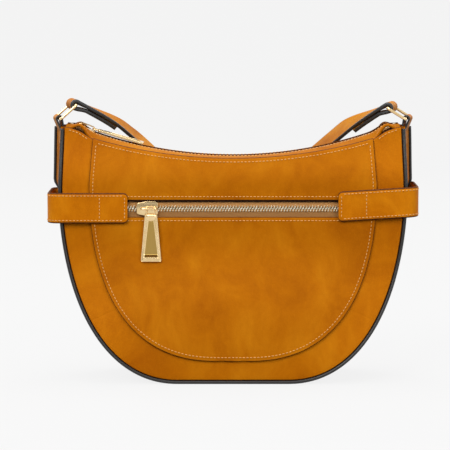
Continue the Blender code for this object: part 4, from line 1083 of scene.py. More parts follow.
# Sliders and pulls
SLIDER_LENGTH = 0.017
SLIDER_WIDTH = 0.012
SLIDER_PLATE = 0.0011
SLIDER_FLANGE = 0.0012
SLIDER_CLEARANCE = 0.0004
SLIDER_ROUND = 0.0004
SLIDER_DOME = 0.00025
SLIDER_WAIST = 0.16
SLIDER_WAIST_FROM = 0.05
SLIDER_WAIST_RUN = 0.40
SLIDER_END_POWER = 6
SLIDER_END_SHARE = 0.55
SLIDER_STATIONS = 41
SLIDER_COLUMNS = 17
ARCH_STEPS = 33
FLANGE_SETBACK = 0.0016
BRIDGE_SPAN = 0.014
BRIDGE_SHIFT = 0.0014
BRIDGE_RISE = 0.0022
BRIDGE_THICKNESS = 0.0010
BRIDGE_WIDTH = 0.0018
BRIDGE_POWER = 0.45
BRIDGE_FOOT_SHARE = 0.6
EYE_INNER_RADIUS = 0.0012
EYE_WALL = 0.0008
EYE_HALF_WIDTH = 0.0006
EYE_HALF_SPREAD = 0.0034
EYE_FOOT = 0.0012
FRAME_FOOT = 0.0010
FRAME_CORNER = 0.0012
FRAME_WIRE_SHARE = 0.7
WIRE_PITCH = 0.0005
BAR_PITCH = 0.0008
FRAME_PITCH = 0.0006
PULL_THICKNESS = 0.0020
PULL_LENGTH = 0.038
PULL_TOP_WIDTH = 0.0100
PULL_FOOT_WIDTH = 0.0167
PULL_NECK = 0.0045
PULL_END = PULL_NECK + PULL_LENGTH
PULL_ROUND = 0.0005
PULL_CORNER = 0.0013
PULL_SLOT_WIDTH = 0.011
PULL_SLOT_HEIGHT = 0.0022
PULL_SLOT_FROM_FOOT = 0.0036
PULL_BEVEL_TOP = 0.0026
PULL_BEVEL_FOOT = 0.0014
PULL_BEVEL_DROP = 0.0006
PULL_RIDGE = 0.0006
PULL_SUNK = 0.0006
PULL_CHAMFER = 0.0005
PULL_FACE_COLUMNS = 16
PULL_FACE_FROM = 0.9 * PULL_CHAMFER
PULL_ROWS = (110, 6, 10)
PULL_FACE_FOOT = PULL_END - PULL_SLOT_FROM_FOOT + 0.0006
PULL_DOME_RADIUS = 0.0038
PULL_DOME_HEIGHT = 0.0004
PULL_DOME_RIM = 0.0003
PULL_DOME_REACH = PULL_NECK + 0.0008
FRONT_SLIDER_X = -0.0688
FRONT_PULL_SHIFT = 0.0031
TOP_PULL_SETBACK = 0.0012
TOP_PULL_LIFT = math.radians(4.5)
TEETH_FACE = TOOTH_HEIGHT / 2 - TAPE_THICKNESS / 2
PLATE_BASE = TEETH_FACE + SLIDER_CLEARANCE
PLATE_DEPTH = SLIDER_PLATE - 0.0001
BRIDGE_FOOT = PLATE_BASE + SLIDER_PLATE * BRIDGE_FOOT_SHARE
BRIDGE_LEVEL = PLATE_BASE + SLIDER_PLATE + BRIDGE_RISE + BRIDGE_THICKNESS / 2


def placer(origin, first, second, third):
    """Places three measures along three directions from an origin."""
    def place(a, b, c):
        return origin + first * a + second * b + third * c
    return place


def placed_line(place, corners, pitch):
    """A flat line of corners, placed and divided at a pitch."""
    return resample(as_array(place(a, b, 0.0) for a, b in corners), pitch)


def slider_half_width(along):
    """Half width of the slider's plate: full at its crown end, waisted and rounded at its tail."""
    share = along / SLIDER_LENGTH
    end = math.sqrt(max(1 - (2 * abs(share)) ** SLIDER_END_POWER, 0.0))
    waist = 1 - SLIDER_WAIST * smooth_step((SLIDER_WAIST_FROM - share) / SLIDER_WAIST_RUN)
    return SLIDER_WIDTH / 2 * waist * (1 - SLIDER_END_SHARE + SLIDER_END_SHARE * end)


def make_slider(name, origin, along, across, up):
    """Slider: a domed plate with rounded ends, side flanges and an arched bridge of round bar."""
    place = placer(origin, along, across, up)

    def plate_place(a, b, drop):
        dome = SLIDER_DOME * (b / (SLIDER_WIDTH / 2)) ** 2
        return place(a, b, PLATE_BASE + SLIDER_PLATE - dome - drop)

    stations = np.linspace(-SLIDER_LENGTH / 2 + SLIDER_ROUND, SLIDER_LENGTH / 2 - SLIDER_ROUND, SLIDER_STATIONS)
    shares = np.linspace(-1.0, 1.0, SLIDER_COLUMNS)
    grid = np.array([[(a, s * (slider_half_width(a) - SLIDER_ROUND)) for s in shares] for a in stations])
    pieces = [rolled_sheet(name + "_plate", grid, plate_place, PLATE_DEPTH, SLIDER_ROUND, name, closed=True)]
    half = (SLIDER_LENGTH / 2 - FLANGE_SETBACK, SLIDER_FLANGE / 2, PLATE_BASE / 2)
    for sign in (-1, 1):
        middle = sign * (TOOTH_HALF_CHAIN + SLIDER_CLEARANCE + SLIDER_FLANGE / 2)
        pieces.append(box_at(name + "_side", half, METAL_ROUND, place(0.0, middle, PLATE_BASE / 2 + SLIDER_ROUND),
                             along, across, up, name))
    span = BRIDGE_SPAN / 2 - BRIDGE_THICKNESS / 2
    arch = []
    for turn in np.linspace(math.pi, 0.0, ARCH_STEPS):
        reach = math.copysign(abs(math.cos(turn)) ** BRIDGE_POWER, math.cos(turn))
        lift = BRIDGE_FOOT + (BRIDGE_LEVEL - BRIDGE_FOOT) * math.sin(turn) ** BRIDGE_POWER
        arch.append(place(BRIDGE_SHIFT + span * reach, 0.0, lift))
    path = resample(as_array(arch), WIRE_PITCH)
    bridge = tube_piece(name + "_bridge", path, BRIDGE_WIDTH / 2, body=name, first_side=tuple(across))
    squash_across(bridge, origin, across, BRIDGE_THICKNESS / BRIDGE_WIDTH, path)
    dress(join_pieces(name + "_metal", pieces + [bridge]), [finish("brass")], name)


def squash_across(piece, origin, across, share, path):
    """Flattens a tube toward its own path, square to the across direction."""
    for vert in piece.data.vertices:
        middle = vert.co - across * (vert.co - origin).dot(across)
        near = Vector(path[np.argmin(np.linalg.norm(path - np.array(middle), axis=1))])
        away = vert.co - near
        side = across * away.dot(across)
        vert.co = near + side + (away - side) * share


def pull_half_width(reach):
    """Half width of a pull's plate at a distance from its hinge, with rounded corners."""
    share = (reach - PULL_NECK) / PULL_LENGTH
    half = PULL_TOP_WIDTH / 2 + (PULL_FOOT_WIDTH - PULL_TOP_WIDTH) / 2 * share
    return rounded_end(min(reach - PULL_NECK, PULL_END - reach), half, PULL_CORNER)


def rounded_end(distance, half, corner):
    """Half width of a strip at a distance from its rounded end."""
    if distance >= corner:
        return half
    return half - corner + math.sqrt(max(corner ** 2 - (corner - distance) ** 2, 0.0))


def pull_bevel(side, reach):
    """Width of the outer bevel, and the distance inward from the plate's side."""
    share = (reach - PULL_NECK) / PULL_LENGTH
    return PULL_BEVEL_TOP + (PULL_BEVEL_FOOT - PULL_BEVEL_TOP) * share, pull_half_width(reach) - abs(side)


def pull_inside(side, reach):
    """Distance inward from the sunk face's outline; negative on the rim."""
    bevel, away = pull_bevel(side, reach)
    from_dome = math.hypot(side, reach - PULL_DOME_REACH) - PULL_DOME_RADIUS - PULL_DOME_RIM
    return min(away - bevel - PULL_RIDGE, from_dome, PULL_FACE_FOOT - reach)


def pull_sunk(side, reach):
    """How far a pull's face is sunk: bevelled outside, flat inside its ridge, domed at the head."""
    bevel, away = pull_bevel(side, reach)
    sunk = PULL_BEVEL_DROP * min(max(1 - away / bevel, 0.0), 1.0)
    sunk += PULL_SUNK * min(max(pull_inside(side, reach) / PULL_CHAMFER, 0.0), 1.0)
    from_dome = math.hypot(side, reach - PULL_DOME_REACH) / PULL_DOME_RADIUS
    return sunk - PULL_DOME_HEIGHT * math.sqrt(max(1 - from_dome ** 2, 0.0))


def pull_columns(reach):
    """Points across a pull's plate that follow the sunk face, its chamfer, the ridge and the bevel."""
    bevel, half = pull_bevel(0.0, reach)
    ridge = half - bevel
    face = ridge - PULL_RIDGE
    sides = list(np.linspace(0.0, 1.0, PULL_FACE_COLUMNS) * (face - PULL_CHAMFER))
    sides += [face, ridge - PULL_RIDGE / 2, ridge]
    sides += [ridge + (bevel - PULL_ROUND) * k / 4 for k in (1, 2, 3, 4)]
    return [(-x, reach) for x in sides[:0:-1]] + [(x, reach) for x in sides]


def pull_face(side, reach, drop):
    """Places on a pull's plate at a drop from its upper side: sunk faces above and below."""
    half = PULL_THICKNESS / 2
    if drop <= 0:
        return side, reach, half - pull_sunk(side, reach)
    if drop >= PULL_THICKNESS - TINY:
        return side, reach, pull_sunk(side, reach) - half
    return side, reach, half - drop


def make_pull(name, place):
    """A pull's plate with bevelled rim, sunk face on both sides and a slot near its foot."""
    slot_high = PULL_END - PULL_SLOT_FROM_FOOT
    slot_low = slot_high - PULL_SLOT_HEIGHT
    levels = (PULL_NECK + PULL_ROUND, slot_low, slot_high, PULL_END - PULL_ROUND)
    reaches = levels[:1]
    for start, end, count in zip(levels, levels[1:], PULL_ROWS):
        reaches = np.append(reaches, np.linspace(start, end, count)[1:])
    grid = np.array([pull_columns(reach) for reach in reaches])
    plate = rolled_sheet(name + "_plate", grid, pull_face, PULL_THICKNESS, PULL_ROUND, name,
                         keep=cells_round_slot(grid, slot_low, slot_high, PULL_SLOT_WIDTH / 2), closed=True)
    dress(plate, [finish("brass"), finish("olive_brass")], name)
    for polygon in plate.data.polygons:
        polygon.material_index = int(pull_inside(*polygon.center[:2]) > PULL_FACE_FROM)
    for vert in plate.data.vertices:
        vert.co = place(*vert.co)


def make_double_eye(name, place):
    """The open head: two rounded eyes round the bridge's bar, a bar across above and two short necks."""
    middle = EYE_INNER_RADIUS + EYE_WALL / 2
    arounds = FULL_TURN * np.arange(TUBE_SIDES + 1) / TUBE_SIDES
    sizes = middle + EYE_WALL / 2 * np.cos(arounds)
    pieces = []
    for spread in (-EYE_HALF_SPREAD, EYE_HALF_SPREAD):
        sides = spread + EYE_HALF_WIDTH * np.sin(arounds)
        rows = [[tuple(place(side, size * math.cos(turn), size * math.sin(turn)))
                 for side, size in zip(sides, sizes)] for turn in np.linspace(0.0, FULL_TURN, ARCH_STEPS)[:-1]]
        pieces.append(grid_piece(name + "_eye", rows, name, ring=True))
        path = placed_line(place, ((spread, middle), (spread, PULL_NECK + EYE_FOOT)), WIRE_PITCH)
        pieces.append(tube_piece(name + "_neck", path, EYE_HALF_WIDTH, body=name))
    path = placed_line(place, ((-EYE_HALF_SPREAD, -middle), (EYE_HALF_SPREAD, -middle)), BAR_PITCH)
    pieces.append(tube_piece(name + "_bar", path, EYE_WALL / 2, body=name))
    dress(join_pieces(name + "_loop", pieces), [finish("brass")])


def make_frame_eye(name, place):
    """The open frame at a pull's head, whose crossbar lies under the bridge."""
    wide = PULL_TOP_WIDTH / 2 - GAP - EYE_WALL
    half = [(wide, PULL_NECK + FRAME_FOOT), (wide, FRAME_CORNER), (wide - FRAME_CORNER, 0.0)]
    path = placed_line(place, half + [(-a, b) for a, b in reversed(half)], FRAME_PITCH)
    frame_eye = tube_piece(name + "_loop", path, EYE_WALL * FRAME_WIRE_SHARE, body=name,
                           first_side=tuple(place(0, 0, 1) - place(0, 0, 0)))
    dress(frame_eye, [finish("brass")])


def make_sliders():
    """Both sliders with their pulls."""
    origin = Vector((FRONT_SLIDER_X, -UPPER_HALF_DEPTH, SLOT_HEIGHT_CENTRE))
    make_slider("front_slider", origin, RIGHT, -UP, FORWARD)
    place = placer(origin + FORWARD * BRIDGE_LEVEL + RIGHT * FRONT_PULL_SHIFT, RIGHT, -UP, FORWARD)
    make_pull("front_pull", place)
    make_double_eye("front_pull", place)
    origin, along, up = top_frame(TOP_SLIDER_X)
    make_slider("top_slider", origin, along, BACK, up)
    hinge = (origin + up * (BRIDGE_LEVEL - (BRIDGE_RISE + BRIDGE_THICKNESS) / 2)
             + along * (BRIDGE_SHIFT + BRIDGE_SPAN / 2 - BRIDGE_THICKNESS - TOP_PULL_SETBACK))
    down = along * math.cos(TOP_PULL_LIFT) + up * math.sin(TOP_PULL_LIFT)
    over = up * math.cos(TOP_PULL_LIFT) - along * math.sin(TOP_PULL_LIFT)
    place = placer(hinge, BACK, down, over)
    make_pull("top_pull", place)
    make_frame_eye("top_pull", place)


# Strips: belts, tabs and strap
STRIP_COLUMNS = 10
STRIP_EDGE_STEPS = 6
STRIP_EDGE_SHARE = 0.9
BELT_HEIGHT_CENTRE = 0.1405
BELT_HEIGHT = 0.0245
BELT_THICKNESS = 0.0024
BELT_END_HALF_WIDTH = 0.0845
BELT_STITCH_HALF_WIDTH = 0.107
BELT_REACH = 0.1492
BELT_CORNER = 0.008
BELT_END_CORNER = 0.0035
BELT_END_BLUNT = 0.0002
BELT_EDGE_INSET = 0.0024
BELT_LIFT = 0.0012
BELT_TILT = math.radians(3.5)
BELT_PITCH = 0.0008
BEND_STEPS = 13
COLUMN_STEPS = 16


def smooth_normals(centres, widths):
    """Unit normals of a strip from its centre line and its widths' directions."""
    return unit_rows(np.cross(unit_rows(np.gradient(centres, axis=0)), widths))


def strip_section(half_width, thickness):
    """Closed outline of a strip: flat faces with half-round edges, as (across, lift)."""
    radius = thickness / 2 * STRIP_EDGE_SHARE
    flat = half_width - radius
    points = []
    for sign in (1, -1):
        points += [(sign * flat * (2 * k / STRIP_COLUMNS - 1), sign * thickness / 2)
                   for k in range(STRIP_COLUMNS + 1)]
        for k in range(1, STRIP_EDGE_STEPS):
            turn = math.pi / 2 - math.pi * k / STRIP_EDGE_STEPS
            points.append((sign * (flat + radius * math.cos(turn)), sign * thickness / 2 * math.sin(turn)))
    return points


def sweep_strip(name, centres, widths, normals, half_widths, thickness, materials, body="bag"):
    """A leather strip along its centre line, with its edges in the second material."""
    half_widths = np.broadcast_to(half_widths, len(centres))
    points = []
    for centre, width, normal, half in zip(centres, widths, normals, half_widths):
        points += [centre + width * a + normal * b for a, b in strip_section(half, thickness)]
    size = 2 * (STRIP_COLUMNS + STRIP_EDGE_STEPS)
    piece = add_mesh(name, points, tube_faces(len(centres), size), body)
    dress(piece, materials)
    for k, polygon in enumerate(piece.data.polygons):
        is_end = k >= (len(centres) - 1) * size
        polygon.material_index = int(is_end or k % (size // 2) >= STRIP_COLUMNS)
    return piece


def belt_height(x, sign):
    """Height of a belt's middle: the right belt rises toward the side."""
    if sign < 0:
        return BELT_HEIGHT_CENTRE
    return BELT_HEIGHT_CENTRE + BELT_LIFT + (x - BELT_END_HALF_WIDTH) * math.tan(BELT_TILT)


def make_belts():
    """Belts stitched to the front and the back and looped round the sides."""
    front = UPPER_HALF_DEPTH + PANEL_LIFT + GAP + BELT_THICKNESS / 2
    back = UPPER_HALF_DEPTH + LEATHER + GAP + BELT_THICKNESS / 2
    bend_x = BELT_REACH - BELT_THICKNESS / 2 - BELT_CORNER
    path = [(BELT_END_HALF_WIDTH, -front), (BELT_STITCH_HALF_WIDTH, -front)]
    for bend_y, first in ((BELT_CORNER - front, -math.pi / 2), (back - BELT_CORNER, 0.0)):
        path += [(bend_x + BELT_CORNER * math.cos(turn), bend_y + BELT_CORNER * math.sin(turn))
                 for turn in np.linspace(first, first + math.pi / 2, BEND_STEPS)]
    path += [(BELT_STITCH_HALF_WIDTH, back), (BELT_END_HALF_WIDTH, back)]
    flat = resample(np.array(path), BELT_PITCH)
    for side, sign in SIDES:
        name = "belt_" + side
        centres = np.array([(sign * x, y, belt_height(x, sign)) for x, y in flat])
        widths = np.tile(np.array([0.0, 0.0, 1.0]), (len(centres), 1))
        normals = smooth_normals(centres, widths)
        if normals[0, 1] > 0:
            normals = -normals
        lengths = lengths_along(centres)
        halves = [rounded_end(min(s, lengths[-1] - s) + BELT_END_BLUNT, BELT_HEIGHT / 2, BELT_END_CORNER)
                  for s in lengths]
        belt = sweep_strip(name + "_leather", centres, widths, normals, halves, BELT_THICKNESS,
                           [leather("ochre_leather_belt"), finish("edge_leather_and_shade")])
        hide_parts(name)
        surface = centres + normals * BELT_THICKNESS / 2
        for row, lift in (("top", 1), ("low", -1)):
            line = surface + widths * lift * (BELT_HEIGHT / 2 - BELT_EDGE_INSET)
            stitch_row(name + "_stitches_" + row, line[4:-4], normals[4:-4])
        for (facing, outward), depth in zip(DEPTHS, (front, back)):
            stitch_belt_columns(name + "_stitches_" + facing, sign, outward * (depth + BELT_THICKNESS / 2), outward)


def stitch_belt_columns(name, sign, y, outward):
    """Upright rows at the belt's end and where the loop leaves the bag."""
    half = BELT_HEIGHT / 2 - BELT_EDGE_INSET
    for x in (BELT_END_HALF_WIDTH + BELT_EDGE_INSET, BELT_STITCH_HALF_WIDTH):
        line = [(sign * x, y, belt_height(x, sign) + z) for z in np.linspace(-half, half, COLUMN_STEPS)]
        stitch_row(name + "_" + str(int(x * 1000)), line, [(0, outward, 0)] * len(line))


# Rings, tabs and strap
RING_PIVOT_X = 0.1415
RING_PIVOT_HEIGHT = 0.211
RING_YAW = math.radians(14)
RING_REACH = 0.017
RING_WIRE_RADIUS = 0.00115
RING_CORNER = 0.0018
RING_SIDES = 14
RING_CORNER_STEPS = 9
RING_PITCH = 0.0007
RING_TILTS = {"left": math.radians(41), "right": math.radians(31)}
TAB_THICKNESS = 0.0016
TAB_WIDTH = 0.013
TAB_FOOT_HEIGHT = 0.190
TAB_PITCH = 0.0006
LOOP_STEPS = 25
LOOP_PAST_HALF = 0.05
STRAP_WIDTH = 0.022
STRAP_THICKNESS = 0.0031
STRAP_SLOPES = {"left": math.radians(30), "right": math.radians(33)}

# The strap's near edge as (x, z), y and its lean in degrees, from the left ring to the right one
STRAP_ROUTE = (
    ((-0.0890, 0.2000), 0.0150, 10), ((-0.0775, 0.1890), 0.0235, 12), ((-0.0450, 0.1600), 0.0290, 8),
    ((0.0000, 0.1230), 0.0300, 2), ((0.0420, 0.0850), 0.0330, 0), ((0.0640, 0.0430), 0.0390, 0),
    ((0.0480, 0.0120), 0.0450, 0), ((0.0000, 0.0032), 0.0530, 0), ((-0.0480, 0.0120), 0.0610, 0),
    ((-0.0640, 0.0430), 0.0650, 0), ((-0.0420, 0.0850), 0.0640, 0), ((0.0000, 0.1230), 0.0600, 4),
    ((0.0450, 0.1560), 0.0460, 15), ((0.0830, 0.1885), 0.0255, 20), ((0.0930, 0.1975), 0.0185, 21))
STRAP_STEPS = 24
STRAP_PITCH = 0.0012
STRAP_MIDDLE_HALF = 0.004
FOLD_STEPS = 26
FOLD_PINCH_SHARE = 0.22
UNDER_COUNT = 22
STRAP_EASE = 0.030
EASE_ROUNDS = 160
NEAR_EASE = 0.2


def ring_frame(side, sign):
    """Pivot of a ring, the way inward, the way along its bars and the way from lower to upper bar."""
    inward = Vector((-sign * math.cos(RING_YAW), math.sin(RING_YAW), 0.0))
    bar = Vector((sign * math.sin(RING_YAW), math.cos(RING_YAW), 0.0))
    pivot = Vector((sign * RING_PIVOT_X, 0.0, RING_PIVOT_HEIGHT))
    tilt = RING_TILTS[side]
    return pivot, inward, bar, inward * math.cos(tilt) + UP * math.sin(tilt)


def make_rings():
    """Rectangular rings of round wire with rounded corners."""
    near, far, wide = RING_CORNER, RING_REACH - RING_CORNER, STRAP_WIDTH / 2
    around = FULL_TURN * np.arange(RING_SIDES + 1) / RING_SIDES
    for side, sign in SIDES:
        pivot, inward, bar, reach = ring_frame(side, sign)
        place = placer(pivot, reach, bar, UP)
        corners = []
        for a, b, first in ((far, wide, 0.5), (far, -wide, 0.0), (near, -wide, -0.5), (near, wide, -1.0)):
            corners += [(a + RING_CORNER * math.cos(turn), b + RING_CORNER * math.sin(turn))
                        for turn in np.linspace(first, first - 0.5, RING_CORNER_STEPS) * math.pi]
        path = placed_line(place, corners + corners[:1], RING_PITCH)[:-1]
        normal = np.array(reach.cross(bar))
        across = np.cross(unit_rows(np.roll(path, -1, axis=0) - np.roll(path, 1, axis=0)), normal)
        rows = [[centre + RING_WIRE_RADIUS * (math.cos(t) * out + math.sin(t) * normal) for t in around]
                for centre, out in zip(path, across)]
        ring = grid_piece("ring_" + side + "_wire", rows, side + "_ring", ring=True)
        dress(ring, [finish("brass")], "ring_" + side)


def upright_half_width(height):
    """Half width of the body above its widest height."""
    share = (height - WIDEST_HEIGHT) / (CORNER_HEIGHT - WIDEST_HEIGHT)
    return WIDEST_HALF_WIDTH + (CORNER_HALF_WIDTH - WIDEST_HALF_WIDTH) * share


def make_ring_tabs():
    """Leather tabs round the lower bars, sewn into the gusset's fold."""
    radius = RING_WIRE_RADIUS + GAP + TAB_THICKNESS / 2
    foot = TAB_FOOT_HEIGHT - RING_PIVOT_HEIGHT
    gusset_x = upright_half_width(TAB_FOOT_HEIGHT) - fold_depth(TAB_FOOT_HEIGHT) + side_flare(TAB_FOOT_HEIGHT, 0.5)
    inner_leg = RING_PIVOT_X - gusset_x - TAB_THICKNESS / 2 - TAB_WIDTH / 2 * math.sin(RING_YAW) - GAP
    outer_leg = inner_leg - TAB_THICKNESS - GAP
    path = [(outer_leg, foot), (outer_leg, foot * 0.5)]
    path += [(radius * math.cos(turn), radius * math.sin(turn))
             for turn in math.pi * np.linspace(1 + LOOP_PAST_HALF, -LOOP_PAST_HALF, LOOP_STEPS)]
    path += [(inner_leg, foot * 0.5), (inner_leg, foot)]
    flat = resample(np.array(path), TAB_PITCH)
    for side, sign in SIDES:
        pivot, inward, bar, reach = ring_frame(side, sign)
        centres = as_array(pivot + inward * a + UP * b for a, b in flat)
        widths = np.tile(np.array(bar), (len(centres), 1))
        normals = smooth_normals(centres, widths)
        if normals[len(normals) // 2][2] < 0:
            normals = -normals
        tab = sweep_strip("ring_tab_" + side + "_leather", centres, widths, normals, TAB_WIDTH / 2,
                          TAB_THICKNESS, [leather("ochre_leather_tab"), finish("edge_paint")])
        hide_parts("ring_tab_" + side)


def curve_through(points, steps):
    """A smooth curve through points of any dimension."""
    values = np.array(points, dtype=float)
    padded = np.vstack([2 * values[0] - values[1], values, 2 * values[-1] - values[-2]])
    result = []
    for i in range(len(values) - 1):
        p0, p1, p2, p3 = padded[i:i + 4]
        for t in np.arange(steps) / steps:
            result.append(0.5 * (2 * p1 + (p2 - p0) * t + (2 * p0 - 5 * p1 + 4 * p2 - p3) * t * t
                                 + (3 * p1 - p0 - 3 * p2 + p3) * t ** 3))
    result.append(values[-1])
    return np.array(result)


def strap_fold(side, sign, route, route_widths):
    """The strap's end round a ring's upper bar, from the free end to the run, as centres and widths."""
    pivot, inward, bar, reach = ring_frame(side, sign)
    bar_centre = pivot + reach * RING_REACH
    slope = STRAP_SLOPES[side]
    run = inward * math.cos(slope) - UP * math.sin(slope)
    normal = inward * math.sin(slope) + UP * math.cos(slope)
    radius = RING_WIRE_RADIUS + GAP + STRAP_THICKNESS / 2
    half = STRAP_WIDTH / 2
    first_width = Vector(tuple(route_widths[0]))
    starts = [Vector(tuple(route[k] - route_widths[k] * half)) for k in (0, 3)]
    near = bar_centre + normal * radius - bar * half
    length = (starts[0] - near).length
    onward = (starts[1] - starts[0]).normalized() * length
    upper = []
    for t in np.linspace(0.0, 1.0, FOLD_STEPS)[:-1].tolist():
        blend = (2 * t ** 3 - 3 * t ** 2 + 1, t ** 3 - 2 * t ** 2 + t, 3 * t ** 2 - 2 * t ** 3, t ** 3 - t ** 2)
        place = near * blend[0] + run * length * blend[1] + starts[0] * blend[2] + onward * blend[3]
        width = bar.lerp(first_width, float(smooth_step(t))).normalized()
        away = 2 * radius + (STRAP_THICKNESS + GAP - 2 * radius) * float(smooth_step(t / FOLD_PINCH_SHARE))
        upper.append((place + width * half, width, away))
    under = [(centre - normal * away, width) for centre, width, away in upper[1:UNDER_COUNT]][::-1]
    turns = [(bar_centre + (run * math.cos(turn) + normal * math.sin(turn)) * radius, bar)
             for turn in np.linspace(-math.pi / 2, -1.5 * math.pi, LOOP_STEPS)]
    centres, widths = zip(*under, *turns, *[(centre, width) for centre, width, away in upper[1:]])
    return as_array(centres), as_array(widths)


def route_stations():
    """Centres and widths of the strap between its two folded ends."""
    edges = curve_through([(x, y, z, lean) for (x, z), y, lean in STRAP_ROUTE], STRAP_STEPS)
    along = unit_rows(np.gradient(edges[:, [0, 2]], axis=0))
    turn = np.radians(edges[:, 3])
    widths = np.stack([-along[:, 1] * np.sin(turn), np.cos(turn), along[:, 0] * np.sin(turn)], axis=1)
    return edges[:, :3] + widths * STRAP_WIDTH / 2, widths


def strap_half(side, sign, route, route_widths):
    """One half of the strap, from its folded end to the middle behind the bag."""
    fold, fold_widths = strap_fold(side, sign, route, route_widths)
    line = resample(np.hstack([np.vstack([fold, route]), np.vstack([fold_widths, route_widths])]), STRAP_PITCH)
    centres, widths = line[:, :3], unit_rows(line[:, 3:])
    near = centres - widths * STRAP_WIDTH / 2
    joint = int(np.argmin(np.linalg.norm(centres - route[0], axis=1)))
    share = np.exp(-((np.arange(len(line)) - joint) * STRAP_PITCH / STRAP_EASE) ** 4)[:, None]
    for _ in range(EASE_ROUNDS):
        widths[1:-1] += share[1:-1] * ((widths[:-2] + widths[2:]) / 2 - widths[1:-1])
        near[1:-1] += share[1:-1] * ((near[:-2] + near[2:]) / 2 - near[1:-1]) * NEAR_EASE
    widths = unit_rows(widths)
    centres = near + widths * STRAP_WIDTH / 2
    strap = sweep_strip("strap_" + side + "_leather", centres, widths, smooth_normals(centres, widths),
                        STRAP_WIDTH / 2, STRAP_THICKNESS,
                        [leather("ochre_leather_strap"), finish("edge_paint")], None)
    pivot, inward, bar, reach = ring_frame(side, sign)
    tuple(Vector(tuple(route[STRAP_STEPS])))
    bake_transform(strap)
    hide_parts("strap")


def make_strap():
    """The shoulder strap as two halves, which meet at its lowest point behind the bag."""
    route, widths = route_stations()
    middle = int(np.argmin(np.where(np.abs(route[:, 0]) < STRAP_MIDDLE_HALF, route[:, 2], 1.0)))
    strap_half("left", -1, route[:middle + 1], widths[:middle + 1])
    strap_half("right", 1, route[middle:][::-1], widths[middle:][::-1])


# Inner pieces and the stitches of the body
LINING_INSET = 0.0048
LINING_TOP_HEIGHT = 0.170
LINING_PITCH = 0.004
LINING_POWER = 0.25
LINING_STEPS = 49
LINING_LEAST_HALF = 0.001
POCKET_DEPTH = 0.080
POCKET_HALF_WIDTH = 0.094
POCKET_THICKNESS = 0.0022
POCKET_ROWS = 40
POCKET_COLUMNS = 60
BOARD_THICKNESS = 0.0015
BOARD_CORNER = 0.006
BOARD_STEPS = 61
BOARD_RINGS = 8
# The dark strip under the front slot's upper edge, a painted shadow: its radius, depth, steps and sides.
SLOT_SHADOW_RADIUS = 0.0007
SLOT_SHADOW_DEPTH = 0.0013
SLOT_SHADOW_STATIONS = 90
SLOT_SHADOW_SIDES = 10
HORN_STITCH_STATIONS = 20
TOP_STITCH_INSET = 0.0023
TOP_STITCH_CLEAR = 0.0035
SLOT_STITCH_AWAY = 0.0029
END_STITCH_AWAY = 0.003
CORNER_STITCH_AWAY = 0.005


def make_lining():
    """The cloth bag inside the body, open at its top."""
    side = inset_line(resample(body_side(), LINING_PITCH), LINING_INSET + GAP)
    side = side[side[:, 1] < LINING_TOP_HEIGHT]
    rows = []
    for half, z in side:
        depth = half_depth(z) - LINING_INSET - GAP
        ring = []
        for turn in np.linspace(0.0, FULL_TURN, LINING_STEPS):
            c, s = math.cos(turn), math.sin(turn)
            ring.append((max(half, LINING_LEAST_HALF) * math.copysign(abs(c) ** LINING_POWER, c),
                         depth * math.copysign(abs(s) ** LINING_POWER, s), z))
        rows.append(ring)
    dress(grid_piece("main_lining_cloth", rows), [finish("lining_cloth")], "main_lining")


def make_pocket():
    """The front pocket's flat pouch, hanging behind the panel."""
    half = POCKET_THICKNESS / 2
    heights = SLOT_HEIGHT_CENTRE + np.linspace(half - POCKET_DEPTH, TAPE_HALF_WIDTH - half, POCKET_ROWS)
    widths = np.linspace(half - POCKET_HALF_WIDTH, POCKET_HALF_WIDTH - half, POCKET_COLUMNS)
    grid = np.array([[(x, z) for x in widths] for z in heights])
    piece = rolled_sheet("front_pocket_cloth", grid,
                         lambda x, z, drop: (x, -(half_depth(z) - LEATHER - GAP) + drop, z),
                         POCKET_THICKNESS, half, closed=True)
    dress(piece, [finish("lining_cloth")], "front_pocket_lining")


def make_board():
    """The stiffener that lies on the base, with rounded corners."""
    low, high = (Vector(corner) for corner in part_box("base_board"))
    half = (high - low) / 2
    outline = []
    for turn in np.linspace(0.0, FULL_TURN, BOARD_STEPS):
        cx, cy = math.cos(turn), math.sin(turn)
        outline.append(((half.x - BOARD_CORNER) * np.sign(round(cx, 6)) + BOARD_CORNER * cx,
                        (half.y - BOARD_CORNER) * np.sign(round(cy, 6)) + BOARD_CORNER * cy))
    shares = np.linspace(0.0, 1.0, BOARD_RINGS + 1)[1:]
    rings = [(share, high.z) for share in shares] + [(share, high.z - BOARD_THICKNESS) for share in shares[::-1]]
    rows = [[(x * share, y * share, z) for x, y in outline] for share, z in rings]
    dress(grid_piece("base_board_fibre", rows), [finish("stiffener")], "base_board")


